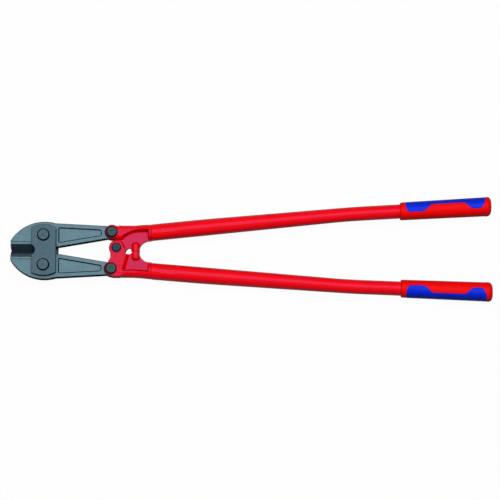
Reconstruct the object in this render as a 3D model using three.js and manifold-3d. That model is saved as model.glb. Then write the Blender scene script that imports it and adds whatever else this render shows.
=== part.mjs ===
// Compound-action bolt cutters, 910 mm long, closed, lying on their back.
//
// Millimetres, +Z up. The pieces are laid out in the head's own frame: X runs from the jaw
// bolts towards the grips, Y towards the upper handle, and Z from the middle plane of the
// jaws to the front. At the end the whole tool is moved so that its origin lies under the
// centre of its box, on the surface that it rests on.
import * as THREE from 'three';
import { mergeVertices } from 'three/addons/utils/BufferGeometryUtils.js';
import Module from 'manifold-3d';

const wasm = await Module();
wasm.setup();

// ---------------------------------------------------------------- driving dimensions

// Clearances
const turnGap = 0.3; // between faces that turn on each other
const fitGap = 0.3; // around a shank, nut, spigot or inlay in its seat
const overcut = 1; // how far a cutting body reaches past the face that it opens

// Jaws
const jawBoltSpacing = 57;
const jawThickness = 16;
const jawReach = 62.7; // from the jaw bolts to the tip
const tipFaceHeight = 17;
const backRadius = 75.2; // the rounded back of the jaw
const backCentreX = 1.7;
const backHeight = 55.2; // of the back's highest point above the cutting line
const backStartX = -60.5;
const backEndX = 23;
const shoulderX = 33; // where the back has run down into the straight arm
const shoulderY = 51.6;
const heelAngle = 32; // degrees of rolling heel behind the jaw bolt
const tailRadius = 11.3;
const edgeLand = 0.6; // flat left on the cutting edge
const edgeBevelHeight = 6.6; // steep bevel beside the cutting edge
const edgeBevelDepth = 3; // how far the steep bevel's top lies below the jaw's face
const bevelHeight = 12.3; // end of the second bevel
const landHeight = 17.4; // end of the ground strip above the bevels
const landDepth = 0.5;
const bevelEndX = -12;
const panelRim = 7.4; // rim left around the sunk panel of each arm
const panelStartX = 27.5;
const panelEndX = 109.8;
const panelDepth = 2.4;
const panelCorner = 3;
const panelEndRound = 4.9; // rounding of the end at the tail

// Side plates
const plateThickness = 8.7;
const plateRadius = 49;
const plateLeft = 22.5;
const plateRight = 23.7;
const rearPlateRight = 26.8; // the rear plate reaches a little farther between the arms
const notchRadius = 9.8;
const notchOffset = 3.2; // of the notch's centre beyond the plate's left edge
const plateChamfer = 0.8;

// Jaw bolts and nuts
const jawShankRadius = 8;
const jawHeadRadius = 10.4;
const jawHeadHeight = 5;
const jawNutAcrossFlats = 24;
const jawNutHeight = 5.4;
const jawNutSink = 4.7; // depth of the counterbore in the rear plate
const jawWasherThickness = 1;

// Pivots of the handles
const upperTailX = 129.2;
const lowerTailX = 128;
const tailPinHeight = 35.1; // of both tail pins above and below the axis
const centrePivotX = 137.9;
const centrePivotY = 5.16;
const tailShankRadius = 5;
const tailHeadRadius = 10.2;
const tailHeadHeight = 4.2;
const centreShankRadius = 6;
const centreHeadRadius = 9.4;
const centreHeadHeight = 3.2;
const handleNutAcrossFlats = 17;
const handleNutHeight = 4.6;
const handleWasherThickness = 1.2;
const handleWasherRadius = 10;
const socketAcrossFlats = 6;
const socketDepth = 2.5;
const pivotTravel = 3.6; // play of the lower tail pin, each way, in its slot
const pivotLean = 14.5; // degrees by which that slot leans from square to the arm

// Handle forgings
const cheekHalf = 12.7; // half the thickness of ears, cheeks and beams
const webHalf = 5;
const stopHalf = 12;
const earRadius = 14.7; // round ends over the tail pins
const bossRadius = 14.7; // round ends over the centre pivot
const bossReach = 13.2; // half the width over which the cheeks run into their round end
const tongueDrop = 9.7; // of the tongue's straight foot below the centre pivot
const seatRadius = 11.8;
const seatDepth = 1;
const slotMargin = 1.2; // room around the tail and the tongue in their slots
const forgingEdge = 1.5; // bevel of the forgings' edges
const forgingCorner = 2.5; // rounding of their tight corners
const partingY = -1.85; // where the two handles meet
const stopX = 173.6;
const stopWidth = 13;
const stopLength = 17.2;
const throatX = 180.7; // the end of the webs between the handles
const throatRadius = 20;
const windowLeft = 154; // the through gap between the webs, left of the stops
const windowRight = 165.4;
const windowLow = -7.4;
const windowHigh = 4.9;
const windowSlant = 6.2; // width and height of its slanting corner
const windowCorner = 3.6;
const stopRound = 5.8;
const earFootX = 146.5; // where the upper ears' lower edge turns up into the beam
const recessBreakX = 160; // a bend in the upper beam's inner edge
const recessBreakY = 31.3;
const recessBendX = 174; // where that edge runs straight on to the collar
const collarFace = 7.5; // from the sunk webs' end to the tubes
const beamRadius = 14.7; // of the round bars that run from the ears to the collars
const beamStartX = 150; // where their straight stretch starts
const beamEndX = 174; // where they start to bend and widen into the collars
const upperBeamHeight = 33.9; // of the upper bar's centre line above the axis
const lowerBeamHeight = 36.6;
const upperRecessTop = 37.3;
const lowerRecessTop = 37.9;
const cheekRight = 147.6; // where the lower cheeks' sloping edge meets their beam
const cheekLeft = 126.2; // the lower cheeks' edge that faces the jaws
const cheekTop = 3.7; // where that edge starts to turn round the centre pivot
const cheekFoot = 14.4; // where it turns out to the lower ears
const earShoulder = 23.4;
const throatDepth = 16.5; // from each collar's centre line to the webs' edge between the handles
const collarRadius = 15.4;
const spigotLength = 58;

// Handle tubes and their centre lines
const jointX = 204; // where each tube starts
const jointSpread = 37; // of each centre line from the middle line there
const firstRise = 5.3; // degrees
const middleLineSkew = 0.477; // degrees
const bends = [
  { x: 299, length: 80, turn: -0.45 },
  { x: 579, length: 60, turn: -2.15 },
];
const tubeRadius = 15.8;
const tubeEndRadius = 13.45;
const tubeWall = 2.2;
const taperStartX = 299;
const taperEndX = 560;
const tubeEndX = 838;
const crimpStartX = 219;
const crimpLength = 31;
const crimpWidth = 7;
const crimpDepth = 1.1;
const crimpRound = 3.3;

// Grips
const gripStartX = 674;
const gripEndX = 847.3;
const gripStartRadius = 16.8;
const gripBodyRadius = 17.9;
const gripLipRadius = 18.7;
const gripLipLength = 13;
const gripRound = 4; // of its start, and of the lip towards the tube
const gripEndRound = 6;
const inlayDepth = 1.6;
const inlayProud = 0.2;
const inlayStartX = 684;
const inlayEndX = 835;
const inlayLobeLow = -5; // how far the inlay's lobes reach past the grip's top
const inlayStripLow = 7.9;
const inlayLobes = [[688, 719], [810, 828]];
const inlaySlope = 14;
const inlayRound = 4.4;

// How finely round surfaces are cut
const arcStep = 15; // degrees
const roundSides = 24;

// ------------------------------------------------------------------ derived places

const jawHalf = jawThickness / 2;
const jawBoltY = jawBoltSpacing / 2;
const slotHalf = jawHalf + turnGap; // of the forks that take the jaws' tails and the tongue
const plateOuter = slotHalf + plateThickness;
const seatFace = cheekHalf - seatDepth;
const recessEndX = jointX - collarFace;
const slotRadius = tailRadius + slotMargin;
const upperJawBolt = new THREE.Vector2(0, jawBoltY);
const lowerJawBolt = new THREE.Vector2(0, -jawBoltY);
const upperTail = new THREE.Vector2(upperTailX, tailPinHeight);
const lowerTail = new THREE.Vector2(lowerTailX, -tailPinHeight);
const centrePivot = new THREE.Vector2(centrePivotX, centrePivotY);
const { degToRad, radToDeg } = THREE.MathUtils;

// Half the distance between the handles' centre lines: a straight rise, eased at each bend.
function handleSpread(x) {
  const rise = Math.tan(degToRad(firstRise));
  let spread = jointSpread + rise * (x - jointX);
  let slope = firstRise;
  for (const { x: bendX, length, turn } of bends) {
    const change = Math.tan(degToRad(slope + turn)) - Math.tan(degToRad(slope));
    const past = x - bendX;
    const eased = past <= -length / 2 ? 0 : (past + length / 2) ** 2 / (2 * length);
    spread += change * (past >= length / 2 ? past : eased);
    slope += turn;
  }
  return spread;
}

// Height of a handle's centre line: side is 1 for the upper handle and -1 for the lower.
function handleLine(side, x) {
  const middle = partingY + Math.tan(degToRad(middleLineSkew)) * (x - jointX);
  return middle + side * handleSpread(x);
}

// ------------------------------------------------------------------ shape helpers

// Points along an arc, with its angles in degrees.
function arc(x, y, radius, from, to) {
  const steps = Math.max(2, Math.ceil(Math.abs(to - from) / arcStep));
  return Array.from({ length: steps + 1 }, (_, i) => {
    const angle = degToRad(from + ((to - from) * i) / steps);
    return new THREE.Vector2(x + radius * Math.cos(angle), y + radius * Math.sin(angle));
  });
}

// A closed outline through corners [x, y, radius], each rounded to its radius.
function roundedOutline(corners) {
  return corners.flatMap(([x, y, radius = 0], i) => {
    const corner = new THREE.Vector2(x, y);
    if (radius === 0) {
      return [corner];
    }
    const [beforeX, beforeY] = corners.at(i - 1);
    const [afterX, afterY] = corners[(i + 1) % corners.length];
    const before = new THREE.Vector2(beforeX - x, beforeY - y).normalize();
    const after = new THREE.Vector2(afterX - x, afterY - y).normalize();
    const halfAngle = Math.acos(before.dot(after)) / 2;
    const centre = before.clone().add(after).setLength(radius / Math.sin(halfAngle)).add(corner);
    const reach = radius / Math.tan(halfAngle);
    const start = before.setLength(reach).add(corner).sub(centre);
    const end = after.setLength(reach).add(corner).sub(centre);
    const from = radToDeg(start.angle());
    const turn = ((radToDeg(end.angle()) - from + 540) % 360) - 180;
    return arc(centre.x, centre.y, radius, from, from + turn);
  });
}

// The angle at which a line from a point touches a circle, on its left (1) or right (-1).
function tangentAngle(point, centre, radius, side) {
  const away = centre.clone().sub(point);
  const direction = Math.atan2(away.y, away.x);
  const lean = Math.asin(radius / away.length());
  return radToDeg(direction + side * lean) + side * 90;
}

function flipped(points) {
  return points.map((point) => new THREE.Vector2(point.x, -point.y));
}

// A plate between two heights, with its edges bevelled.
function slab(points, low, high, bevel = 0) {
  const geometry = new THREE.ExtrudeGeometry(new THREE.Shape(points), {
    depth: high - low - 2 * bevel,
    bevelEnabled: bevel > 0,
    bevelSize: bevel,
    bevelThickness: bevel,
    bevelOffset: -bevel,
    bevelSegments: 1,
  });
  return geometry.translate(0, 0, low + bevel);
}

function box(x1, x2, y1, y2, z1, z2) {
  const geometry = new THREE.BoxGeometry(x2 - x1, y2 - y1, z2 - z1);
  return geometry.translate((x1 + x2) / 2, (y1 + y2) / 2, (z1 + z2) / 2);
}

// A body turned about the Z axis at a place; the profile is a list of [radius, z] upwards.
function turned(place, profile, sides = roundSides) {
  const points = profile.map(([radius, z]) => new THREE.Vector2(radius, z));
  const geometry = new THREE.LatheGeometry(points, sides);
  return geometry.rotateX(Math.PI / 2).translate(place.x, place.y, 0);
}

// A round plug about the Z axis, with chamfered edges.
function puck(place, radius, low, high, chamfer = 0) {
  const rims = [[radius, low + chamfer], [radius, high - chamfer]];
  const ends = [[radius - chamfer, low], [radius - chamfer, high]];
  const wall = chamfer > 0 ? [ends[0], ...rims, ends[1]] : rims;
  return turned(place, [[0, low], ...wall, [0, high]]);
}

// A six-sided prism about the Z axis.
function hexagon(place, acrossFlats, low, high) {
  const radius = acrossFlats / Math.sqrt(3);
  return turned(place, [[0, low], [radius, low], [radius, high], [0, high]], 6);
}

// A body turned about the X axis; the profile is a list of [x, radius].
function turnedAlongX(profile) {
  const points = profile.map(([x, radius]) => new THREE.Vector2(radius, x));
  return new THREE.LatheGeometry(points, roundSides).rotateZ(-Math.PI / 2);
}

// Lays a body that was made about the X axis onto a line, given as its height at each X.
function ontoLine(geometry, heightAt) {
  const position = geometry.attributes.position;
  for (let i = 0; i < position.count; i += 1) {
    position.setY(i, position.getY(i) + heightAt(position.getX(i)));
  }
  return geometry;
}

function ontoHandle(geometry, side) {
  return ontoLine(geometry, (x) => handleLine(side, x));
}

function toSolid(geometry) {
  const bare = geometry.clone();
  bare.deleteAttribute('normal');
  bare.deleteAttribute('uv');
  const merged = mergeVertices(bare, 1e-4);
  const corners = merged.index.array;
  const triVerts = [];
  for (let i = 0; i < corners.length; i += 3) {
    const [a, b, c] = corners.slice(i, i + 3);
    if (a !== b && b !== c && c !== a) {
      triVerts.push(a, b, c);
    }
  }
  return new wasm.Manifold(new wasm.Mesh({
    numProp: 3,
    vertProperties: new Float32Array(merged.attributes.position.array),
    triVerts: new Uint32Array(triVerts),
  }));
}

function toGeometry(solid) {
  const { vertProperties, triVerts } = solid.getMesh();
  const geometry = new THREE.BufferGeometry();
  geometry.setAttribute('position', new THREE.BufferAttribute(vertProperties, 3));
  geometry.setIndex(new THREE.BufferAttribute(triVerts, 1));
  geometry.computeVertexNormals();
  return geometry;
}

function joined(...geometries) {
  return geometries.map(toSolid).reduce((whole, piece) => whole.add(piece));
}

function cut(solid, ...geometries) {
  return geometries.map(toSolid).reduce((rest, tool) => rest.subtract(tool), solid);
}

// ------------------------------------------------------------------ finishes

function finish(color, roughness, metalness) {
  return new THREE.MeshStandardMaterial({ color, roughness, metalness });
}

const jawSteel = finish(0x6d8a97, 0.4, 0.6);
const plateSteel = finish(0x5a7380, 0.45, 0.6);
const boltSteel = finish(0x50666e, 0.4, 0.7);
const darkSteel = finish(0x2f4a5a, 0.4, 0.7);
const redPaint = finish(0xd8102a, 0.35, 0);
const gripRed = finish(0xe40000, 0.5, 0);
const gripBlue = finish(0x0a20c8, 0.4, 0);

const tool = new THREE.Group();

function addPiece(name, shape, material) {
  const mesh = new THREE.Mesh(shape.isBufferGeometry ? shape : toGeometry(shape), material);
  mesh.name = name;
  tool.add(mesh);
  return mesh;
}

// ------------------------------------------------------------------ jaws

const heelRadius = jawBoltY - turnGap / 2;
const heelStart = arc(0, jawBoltY, heelRadius, -90 + heelAngle, -90)[0];

// A jaw's outline, from the cutting edge's tip round by the back, the arm and the tail.
function jawOutline(tail) {
  const backCentreY = backHeight - backRadius;
  const backAngle = (x) => radToDeg(Math.acos((x - backCentreX) / backRadius));
  const shoulder = new THREE.Vector2(shoulderX, shoulderY);
  const tailTop = tangentAngle(shoulder, tail, tailRadius, 1);
  const tailBottom = tangentAngle(heelStart, tail, tailRadius, -1);
  return [
    new THREE.Vector2(-jawReach, turnGap / 2),
    new THREE.Vector2(-jawReach, tipFaceHeight),
    ...arc(backCentreX, backCentreY, backRadius, backAngle(backStartX), backAngle(backEndX)),
    shoulder,
    ...arc(tail.x, tail.y, tailRadius, tailTop, tailBottom),
    ...arc(0, jawBoltY, heelRadius, -90 + heelAngle, -90),
  ];
}

// The sunk panel in the arm: a rim's width inside the arm's edges, with a round end.
function panelOutline(tail) {
  const outerSlope = (tail.y + tailRadius - shoulderY) / (tail.x - shoulderX);
  const innerSlope = (tail.y - tailRadius - heelStart.y) / (tail.x - heelStart.x);
  const top = (x) => shoulderY + (x - shoulderX) * outerSlope - panelRim;
  const bottom = (x) => heelStart.y + (x - heelStart.x) * innerSlope + panelRim;
  return roundedOutline([
    [panelStartX, bottom(panelStartX), panelCorner],
    [panelEndX, bottom(panelEndX), panelEndRound],
    [panelEndX, top(panelEndX), panelEndRound],
    [panelStartX, top(panelStartX), panelCorner],
  ]);
}

// What is ground away beside the cutting edge: side is 1 for the front and -1 for the rear.
function edgeGrinding(side) {
  const beyond = jawHalf + overcut;
  const profile = [
    [-overcut, edgeLand / 2],
    [turnGap / 2, edgeLand / 2],
    [edgeBevelHeight, jawHalf - edgeBevelDepth],
    [bevelHeight, jawHalf - landDepth],
    [landHeight, jawHalf - landDepth],
    [landHeight + landDepth, beyond],
    [-overcut, beyond],
  ].map(([y, z]) => new THREE.Vector2(y, side * z));
  const prism = slab(profile, -jawReach - overcut, bevelEndX);
  // The profile's own axes become Y and Z, and its depth becomes X.
  return prism.applyMatrix4(new THREE.Matrix4().set(0, 0, 1, 0, 1, 0, 0, 0, 0, 1, 0, 0, 0, 0, 0, 1));
}

// A jaw with its tail at a place above the axis, and the hole or slot for its tail pin.
function jaw(tail, pinHole) {
  return cut(
    toSolid(slab(jawOutline(tail), -jawHalf, jawHalf)),
    edgeGrinding(1),
    edgeGrinding(-1),
    slab(panelOutline(tail), jawHalf - panelDepth, jawHalf + overcut),
    slab(panelOutline(tail), -jawHalf - overcut, -jawHalf + panelDepth),
    puck(upperJawBolt, jawShankRadius + fitGap, -jawHalf - overcut, jawHalf + overcut),
    pinHole,
  );
}

// The lower pin sweeps a short slot: round ends, leaning a little from square to the arm.
function pivotSlot(place) {
  const radius = tailShankRadius + fitGap;
  const ends = [
    ...arc(0, pivotTravel, radius, 0, 180),
    ...arc(0, -pivotTravel, radius, 180, 360),
  ];
  const lean = degToRad(pivotLean);
  return slab(ends, -jawHalf - overcut, jawHalf + overcut).rotateZ(-lean).translate(place.x, place.y, 0);
}

const upperPinHole = puck(upperTail, tailShankRadius + fitGap, -jawHalf - overcut, jawHalf + overcut);
addPiece('upper_jaw', jaw(upperTail, upperPinHole), jawSteel);

// The lower jaw is made above the axis too, and then turned over about the X axis.
const lowerTailTurned = new THREE.Vector2(lowerTail.x, -lowerTail.y);
const lowerJaw = addPiece('lower_jaw', jaw(lowerTailTurned, pivotSlot(lowerTailTurned)), jawSteel);
lowerJaw.rotation.x = Math.PI;

// ------------------------------------------------------------------ side plates

// A disc cut off straight on both sides, with a round notch that clears the cutting edges.
function plateOutline(rightEdge) {
  const cornerAngle = (x) => radToDeg(Math.acos(x / plateRadius));
  const notchHalf = Math.sqrt(notchRadius ** 2 - notchOffset ** 2);
  const notchAngle = radToDeg(Math.asin(notchHalf / notchRadius));
  const right = cornerAngle(rightEdge);
  const left = cornerAngle(-plateLeft);
  return [
    ...arc(0, 0, plateRadius, -left, -right),
    ...arc(0, 0, plateRadius, right, left),
    ...arc(-plateLeft - notchOffset, 0, notchRadius, notchAngle, -notchAngle),
  ];
}

const frontPlate = cut(
  toSolid(slab(plateOutline(plateRight), slotHalf, plateOuter, plateChamfer)),
  puck(upperJawBolt, jawShankRadius + fitGap, slotHalf - overcut, plateOuter + overcut),
  puck(lowerJawBolt, jawShankRadius + fitGap, slotHalf - overcut, plateOuter + overcut),
);
addPiece('front_side_plate', frontPlate, plateSteel);

const jawNutSeat = -plateOuter + jawNutSink;
const nutSeatRadius = jawNutAcrossFlats / Math.sqrt(3) + 2 * fitGap;
const rearPlate = cut(
  toSolid(slab(plateOutline(rearPlateRight), -plateOuter, -slotHalf, plateChamfer)),
  ...[upperJawBolt, lowerJawBolt].flatMap((bolt) => [
    puck(bolt, jawShankRadius + fitGap, -plateOuter - overcut, -slotHalf + overcut),
    puck(bolt, nutSeatRadius, -plateOuter - overcut, jawNutSeat),
  ]),
);
addPiece('rear_side_plate', rearPlate, plateSteel);

// ------------------------------------------------------------------ bolts and nuts

// A round-headed bolt from its head's top down; the head's edge is eased and slightly domed.
function bolt(place, head, shank, socket) {
  const { radius, seat, height } = head;
  const ease = height / 5;
  const body = turned(place, [
    [0, shank.end],
    [shank.radius - ease, shank.end],
    [shank.radius, shank.end + ease],
    [shank.radius, seat],
    [radius, seat],
    [radius, seat + height - 2 * ease],
    [radius - ease, seat + height - ease / 2],
    [0, seat + height],
  ]);
  if (!socket) {
    return body;
  }
  const floor = seat + height - socketDepth;
  return cut(toSolid(body), hexagon(place, socketAcrossFlats, floor, seat + height + overcut));
}

// A ring of six flats or a round washer, from its seat downwards.
function nut(place, acrossFlats, boreRadius, top, height) {
  const blank = toSolid(hexagon(place, acrossFlats, top - height, top));
  return cut(blank, puck(place, boreRadius + fitGap, top - height - overcut, top + overcut));
}

function washer(place, radius, boreRadius, top, thickness) {
  const bore = boreRadius + fitGap;
  const low = top - thickness;
  return turned(place, [[bore, low], [radius, low], [radius, top], [bore, top], [bore, low]]);
}

for (const [side, place] of [['upper', upperJawBolt], ['lower', lowerJawBolt]]) {
  const head = { radius: jawHeadRadius, seat: plateOuter, height: jawHeadHeight };
  const nutTop = jawNutSeat - jawWasherThickness;
  const shank = { radius: jawShankRadius, end: nutTop - jawNutHeight + fitGap };
  addPiece(`${side}_jaw_bolt`, bolt(place, head, shank, false), plateSteel);
  const washerRadius = jawNutAcrossFlats / 2;
  const ring = washer(place, washerRadius, jawShankRadius, jawNutSeat, jawWasherThickness);
  addPiece(`${side}_jaw_washer`, ring, boltSteel);
  const hexNut = nut(place, jawNutAcrossFlats, jawShankRadius, nutTop, jawNutHeight);
  addPiece(`${side}_jaw_nut`, hexNut, boltSteel);
}

function handlePivot(name, place, head, shankRadius, face, socket, material) {
  const nutTop = -face - handleWasherThickness;
  const shank = { radius: shankRadius, end: nutTop - handleNutHeight + fitGap };
  addPiece(`${name}_bolt`, bolt(place, { ...head, seat: face }, shank, socket), material);
  const ring = washer(place, handleWasherRadius, shankRadius, -face, handleWasherThickness);
  addPiece(`${name}_washer`, ring, boltSteel);
  const hexNut = nut(place, handleNutAcrossFlats, shankRadius, nutTop, handleNutHeight);
  addPiece(`${name}_nut`, hexNut, boltSteel);
}

const tailHead = { radius: tailHeadRadius, height: tailHeadHeight };
const centreHead = { radius: centreHeadRadius, height: centreHeadHeight };
handlePivot('upper_tail', upperTail, tailHead, tailShankRadius, seatFace, true, boltSteel);
handlePivot('lower_tail', lowerTail, tailHead, tailShankRadius, seatFace, true, boltSteel);
handlePivot('centre', centrePivot, centreHead, centreShankRadius, cheekHalf, false, darkSteel);

// ------------------------------------------------------------------ handle forgings

// The round bar from the ears to the tube, with its collar and the spigot that the tube is
// pressed on. It is flat in front and behind, and a recess beside it leaves only the web.
function beam(side, startX, barHeight, recessTop) {
  const inside = tubeRadius - tubeWall - fitGap;
  const end = jointX + spigotLength;
  const bar = turnedAlongX([
    [startX, 0],
    [startX, beamRadius],
    [beamStartX, beamRadius],
    [beamEndX, beamRadius],
    [recessEndX, collarRadius],
    [jointX, collarRadius],
    [jointX, inside],
    [end - forgingEdge, inside],
    [end, inside - forgingEdge],
    [end, 0],
  ]);
  const heightAt = (x) => {
    const straight = side * barHeight;
    if (x < beamStartX) {
      return THREE.MathUtils.mapLinear(x, startX, beamStartX, side * tailPinHeight, straight);
    }
    if (x < jointX) {
      const onwards = THREE.MathUtils.clamp((x - beamEndX) / (jointX - beamEndX), 0, 1);
      return THREE.MathUtils.lerp(straight, handleLine(side, jointX), onwards);
    }
    return handleLine(side, x);
  };
  const recess = roundedOutline([
    [startX, 0],
    [recessEndX, 0],
    [recessEndX, recessTop, forgingCorner],
    [startX, recessTop],
  ]);
  const room = side > 0 ? recess : flipped(recess);
  const beyond = collarRadius + overcut;
  const across = [0, side * 2 * barHeight].sort((a, b) => a - b);
  return cut(
    toSolid(ontoLine(bar, heightAt)),
    slab(room, webHalf, beyond),
    slab(room, -beyond, -webHalf),
    box(startX - overcut, recessEndX, ...across, cheekHalf, beyond),
    box(startX - overcut, recessEndX, ...across, -beyond, -cheekHalf),
  );
}

// Room for a jaw's tail in its fork, open outwards and towards the jaws; play widens it.
function tailSlot(tail, side, play) {
  const past = earRadius + slotMargin;
  const radius = slotRadius + play;
  const yRange = (distance) => [tail.y, tail.y + side * distance].sort((a, b) => a - b);
  return [
    puck(tail, radius, -slotHalf, slotHalf),
    box(tail.x - past, tail.x + radius, ...yRange(past), -slotHalf, slotHalf),
    box(tail.x - past, tail.x, ...yRange(-past), -slotHalf, slotHalf),
  ];
}

// The bore for a tail bolt, and the round seats for its head and washer.
function tailBore(tail) {
  return [
    puck(tail, tailShankRadius + fitGap, -cheekHalf - overcut, cheekHalf + overcut),
    puck(tail, seatRadius, seatFace, cheekHalf + overcut),
    puck(tail, seatRadius, -cheekHalf - overcut, -seatFace),
  ];
}

const stopLeft = stopX - stopWidth / 2;
const stopRight = stopX + stopWidth / 2;
const window = slab(roundedOutline([
  [windowLeft, windowLow, windowCorner],
  [windowRight, windowLow, windowCorner],
  [windowRight, windowHigh, windowCorner],
  [windowLeft + windowSlant, windowHigh, windowCorner / 2],
  [windowLeft, windowHigh - windowSlant, windowCorner / 2],
]), -cheekHalf - overcut, cheekHalf + overcut);

// A raised stop whose outer end is round; the parting cut leaves it a flat meeting face.
function stopBoss(side) {
  const middle = partingY * side;
  const outline = roundedOutline([
    [stopLeft, middle - stopWidth, stopRound],
    [stopRight, middle - stopWidth, stopRound],
    [stopRight, middle + stopLength, stopRound],
    [stopLeft, middle + stopLength, stopRound],
  ]);
  return slab(side > 0 ? outline : flipped(outline), -stopHalf, stopHalf, forgingEdge);
}

// Heights in the next two functions are measured outwards from the axis of the tool.
const throatReach = jointX - turnGap;
const earTop = tailPinHeight + earRadius;
const earFoot = tailPinHeight - earRadius;
const meetingHeight = (side) => side * partingY + turnGap / 2;
const throatTop = (side) => side * handleLine(side, jointX) - throatDepth;
// How far from a bar's centre line its flat front reaches.
const flatReach = Math.sqrt(beamRadius ** 2 - cheekHalf ** 2);

function webOutline(side, startX, top) {
  return [
    [startX, meetingHeight(side)],
    [throatX, meetingHeight(side)],
    [throatX, throatTop(side), throatRadius],
    [throatReach, throatTop(side)],
    [throatReach, top],
    [startX, top],
  ];
}

// What the other handle's half takes away behind the window: side is that handle's own.
function parting(side) {
  const reach = [side * meetingHeight(side), -side * earTop].sort((a, b) => a - b);
  return box(windowLeft + windowSlant, throatX + overcut, ...reach, -2 * cheekHalf, 2 * cheekHalf);
}

// The upper forging: ears for the upper jaw, a beam, and a tongue between the lower cheeks.
function upperForging() {
  const flank = roundedOutline([
    [upperTail.x, earFoot + turnGap],
    [earFootX, earFoot + turnGap, forgingCorner],
    [recessBreakX, recessBreakY, earRadius],
    [recessBendX, upperRecessTop, earRadius],
    [recessEndX, upperRecessTop],
    [recessEndX, upperBeamHeight + flatReach],
    [beamStartX, upperBeamHeight + flatReach],
    [upperTail.x + earRadius, earTop, forgingCorner],
    [upperTail.x, earTop],
  ]);
  const tongueFoot = centrePivot.y - tongueDrop;
  const web = roundedOutline([
    [centrePivot.x, tongueFoot],
    [windowLeft + windowSlant, tongueFoot],
    ...webOutline(1, windowLeft + windowSlant, upperRecessTop + forgingCorner),
    [upperTail.x + slotRadius + forgingCorner, upperTail.y],
    [centrePivot.x, centrePivot.y + bossRadius / 2],
  ]);
  const boss = bossRadius + turnGap;
  return cut(
    joined(
      slab(flank, -cheekHalf, cheekHalf, forgingEdge),
      puck(upperTail, earRadius, -cheekHalf, cheekHalf, forgingEdge),
      slab(web, -webHalf, webHalf),
      puck(centrePivot, bossRadius, -jawHalf, jawHalf),
      stopBoss(1),
    ).add(beam(1, upperTail.x, upperBeamHeight, upperRecessTop)),
    window,
    parting(1),
    ...tailSlot(upperTail, 1, 0),
    ...tailBore(upperTail),
    puck(centrePivot, boss, jawHalf, cheekHalf + overcut),
    puck(centrePivot, boss, -cheekHalf - overcut, -jawHalf),
    puck(centrePivot, centreShankRadius + fitGap, -cheekHalf, cheekHalf),
  );
}

// The lower forging: ears for the lower jaw whose cheeks reach up past the centre pivot.
function lowerForging() {
  const body = roundedOutline([
    [centrePivot.x - bossReach, -centrePivot.y],
    [cheekLeft, cheekTop, earRadius],
    [cheekLeft, cheekFoot, forgingCorner],
    [lowerTail.x - earRadius / 2, earShoulder],
    [lowerTail.x, tailPinHeight],
    [lowerTail.x, earTop],
    [lowerTail.x + earRadius, earTop, forgingCorner],
    [cheekRight, lowerBeamHeight + flatReach],
    [cheekRight, lowerRecessTop],
    [windowLeft + forgingCorner, -windowLow + forgingCorner, forgingCorner],
    [windowLeft - forgingEdge, -windowLow - forgingEdge, forgingCorner],
    [centrePivot.x + bossReach, -centrePivot.y],
  ]);
  const webTop = lowerRecessTop + forgingCorner;
  const web = roundedOutline(webOutline(-1, centrePivot.x + bossRadius / 2, webTop));
  const room = bossRadius + slotMargin;
  const near = centrePivot.x - 2 * room;
  const far = centrePivot.x + 2 * room;
  const tongueFoot = centrePivot.y - tongueDrop - turnGap;
  return cut(
    joined(
      slab(flipped(body), -cheekHalf, cheekHalf, forgingEdge),
      puck(lowerTail, earRadius, -cheekHalf, cheekHalf, forgingEdge),
      puck(centrePivot, bossRadius, -cheekHalf, cheekHalf, forgingEdge),
      slab(flipped(web), -webHalf, webHalf),
      stopBoss(-1),
    ).add(beam(-1, lowerTail.x, lowerBeamHeight, lowerRecessTop)),
    window,
    parting(-1),
    ...tailSlot(lowerTail, -1, pivotTravel),
    ...tailBore(lowerTail),
    puck(centrePivot, room, -slotHalf, slotHalf),
    box(near, centrePivot.x, centrePivot.y - room, 2 * room, -slotHalf, slotHalf),
    box(centrePivot.x, far, tongueFoot, 2 * room, -slotHalf, slotHalf),
    puck(centrePivot, centreShankRadius + fitGap, -cheekHalf - overcut, cheekHalf + overcut),
  );
}

addPiece('upper_handle_forging', upperForging(), redPaint);
addPiece('lower_handle_forging', lowerForging(), redPaint);

// ------------------------------------------------------------------ handle tubes

function tubeOuter(x) {
  const share = THREE.MathUtils.clamp((x - taperStartX) / (taperEndX - taperStartX), 0, 1);
  return tubeRadius + share * (tubeEndRadius - tubeRadius);
}

// Where the tube's rings lie: at its ends, along its taper and closely through each bend.
function tubeStations() {
  const places = [jointX, taperStartX, (taperStartX + taperEndX) / 2, taperEndX, tubeEndX];
  for (const { x, length } of bends) {
    places.push(x - length / 2, x, x + length / 2);
  }
  return [...new Set(places)].sort((a, b) => a - b);
}

function handleTube(side) {
  const outer = tubeStations().map((x) => [x, tubeOuter(x)]);
  const inner = outer.map(([x, radius]) => [x, radius - tubeWall]).reverse();
  const tube = ontoHandle(turnedAlongX([...outer, ...inner, outer[0]]), side);
  const half = crimpWidth / 2;
  const crimp = roundedOutline([
    [crimpStartX, -half, crimpRound],
    [crimpStartX + crimpLength, -half, crimpRound],
    [crimpStartX + crimpLength, half, crimpRound],
    [crimpStartX, half, crimpRound],
  ]);
  const floor = tubeRadius - crimpDepth;
  return cut(
    toSolid(tube),
    ontoHandle(slab(crimp, floor, tubeRadius + overcut), side),
    ontoHandle(slab(crimp, -tubeRadius - overcut, -floor), side),
  );
}

addPiece('upper_handle_tube', handleTube(1), redPaint);
addPiece('lower_handle_tube', handleTube(-1), redPaint);

// ------------------------------------------------------------------ grips

const lipStartX = gripEndX - gripLipLength;

function gripOuter(x) {
  const share = THREE.MathUtils.clamp((x - gripStartX) / (lipStartX - gripStartX), 0, 1);
  return gripStartRadius + share * (gripBodyRadius - gripStartRadius);
}

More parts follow.
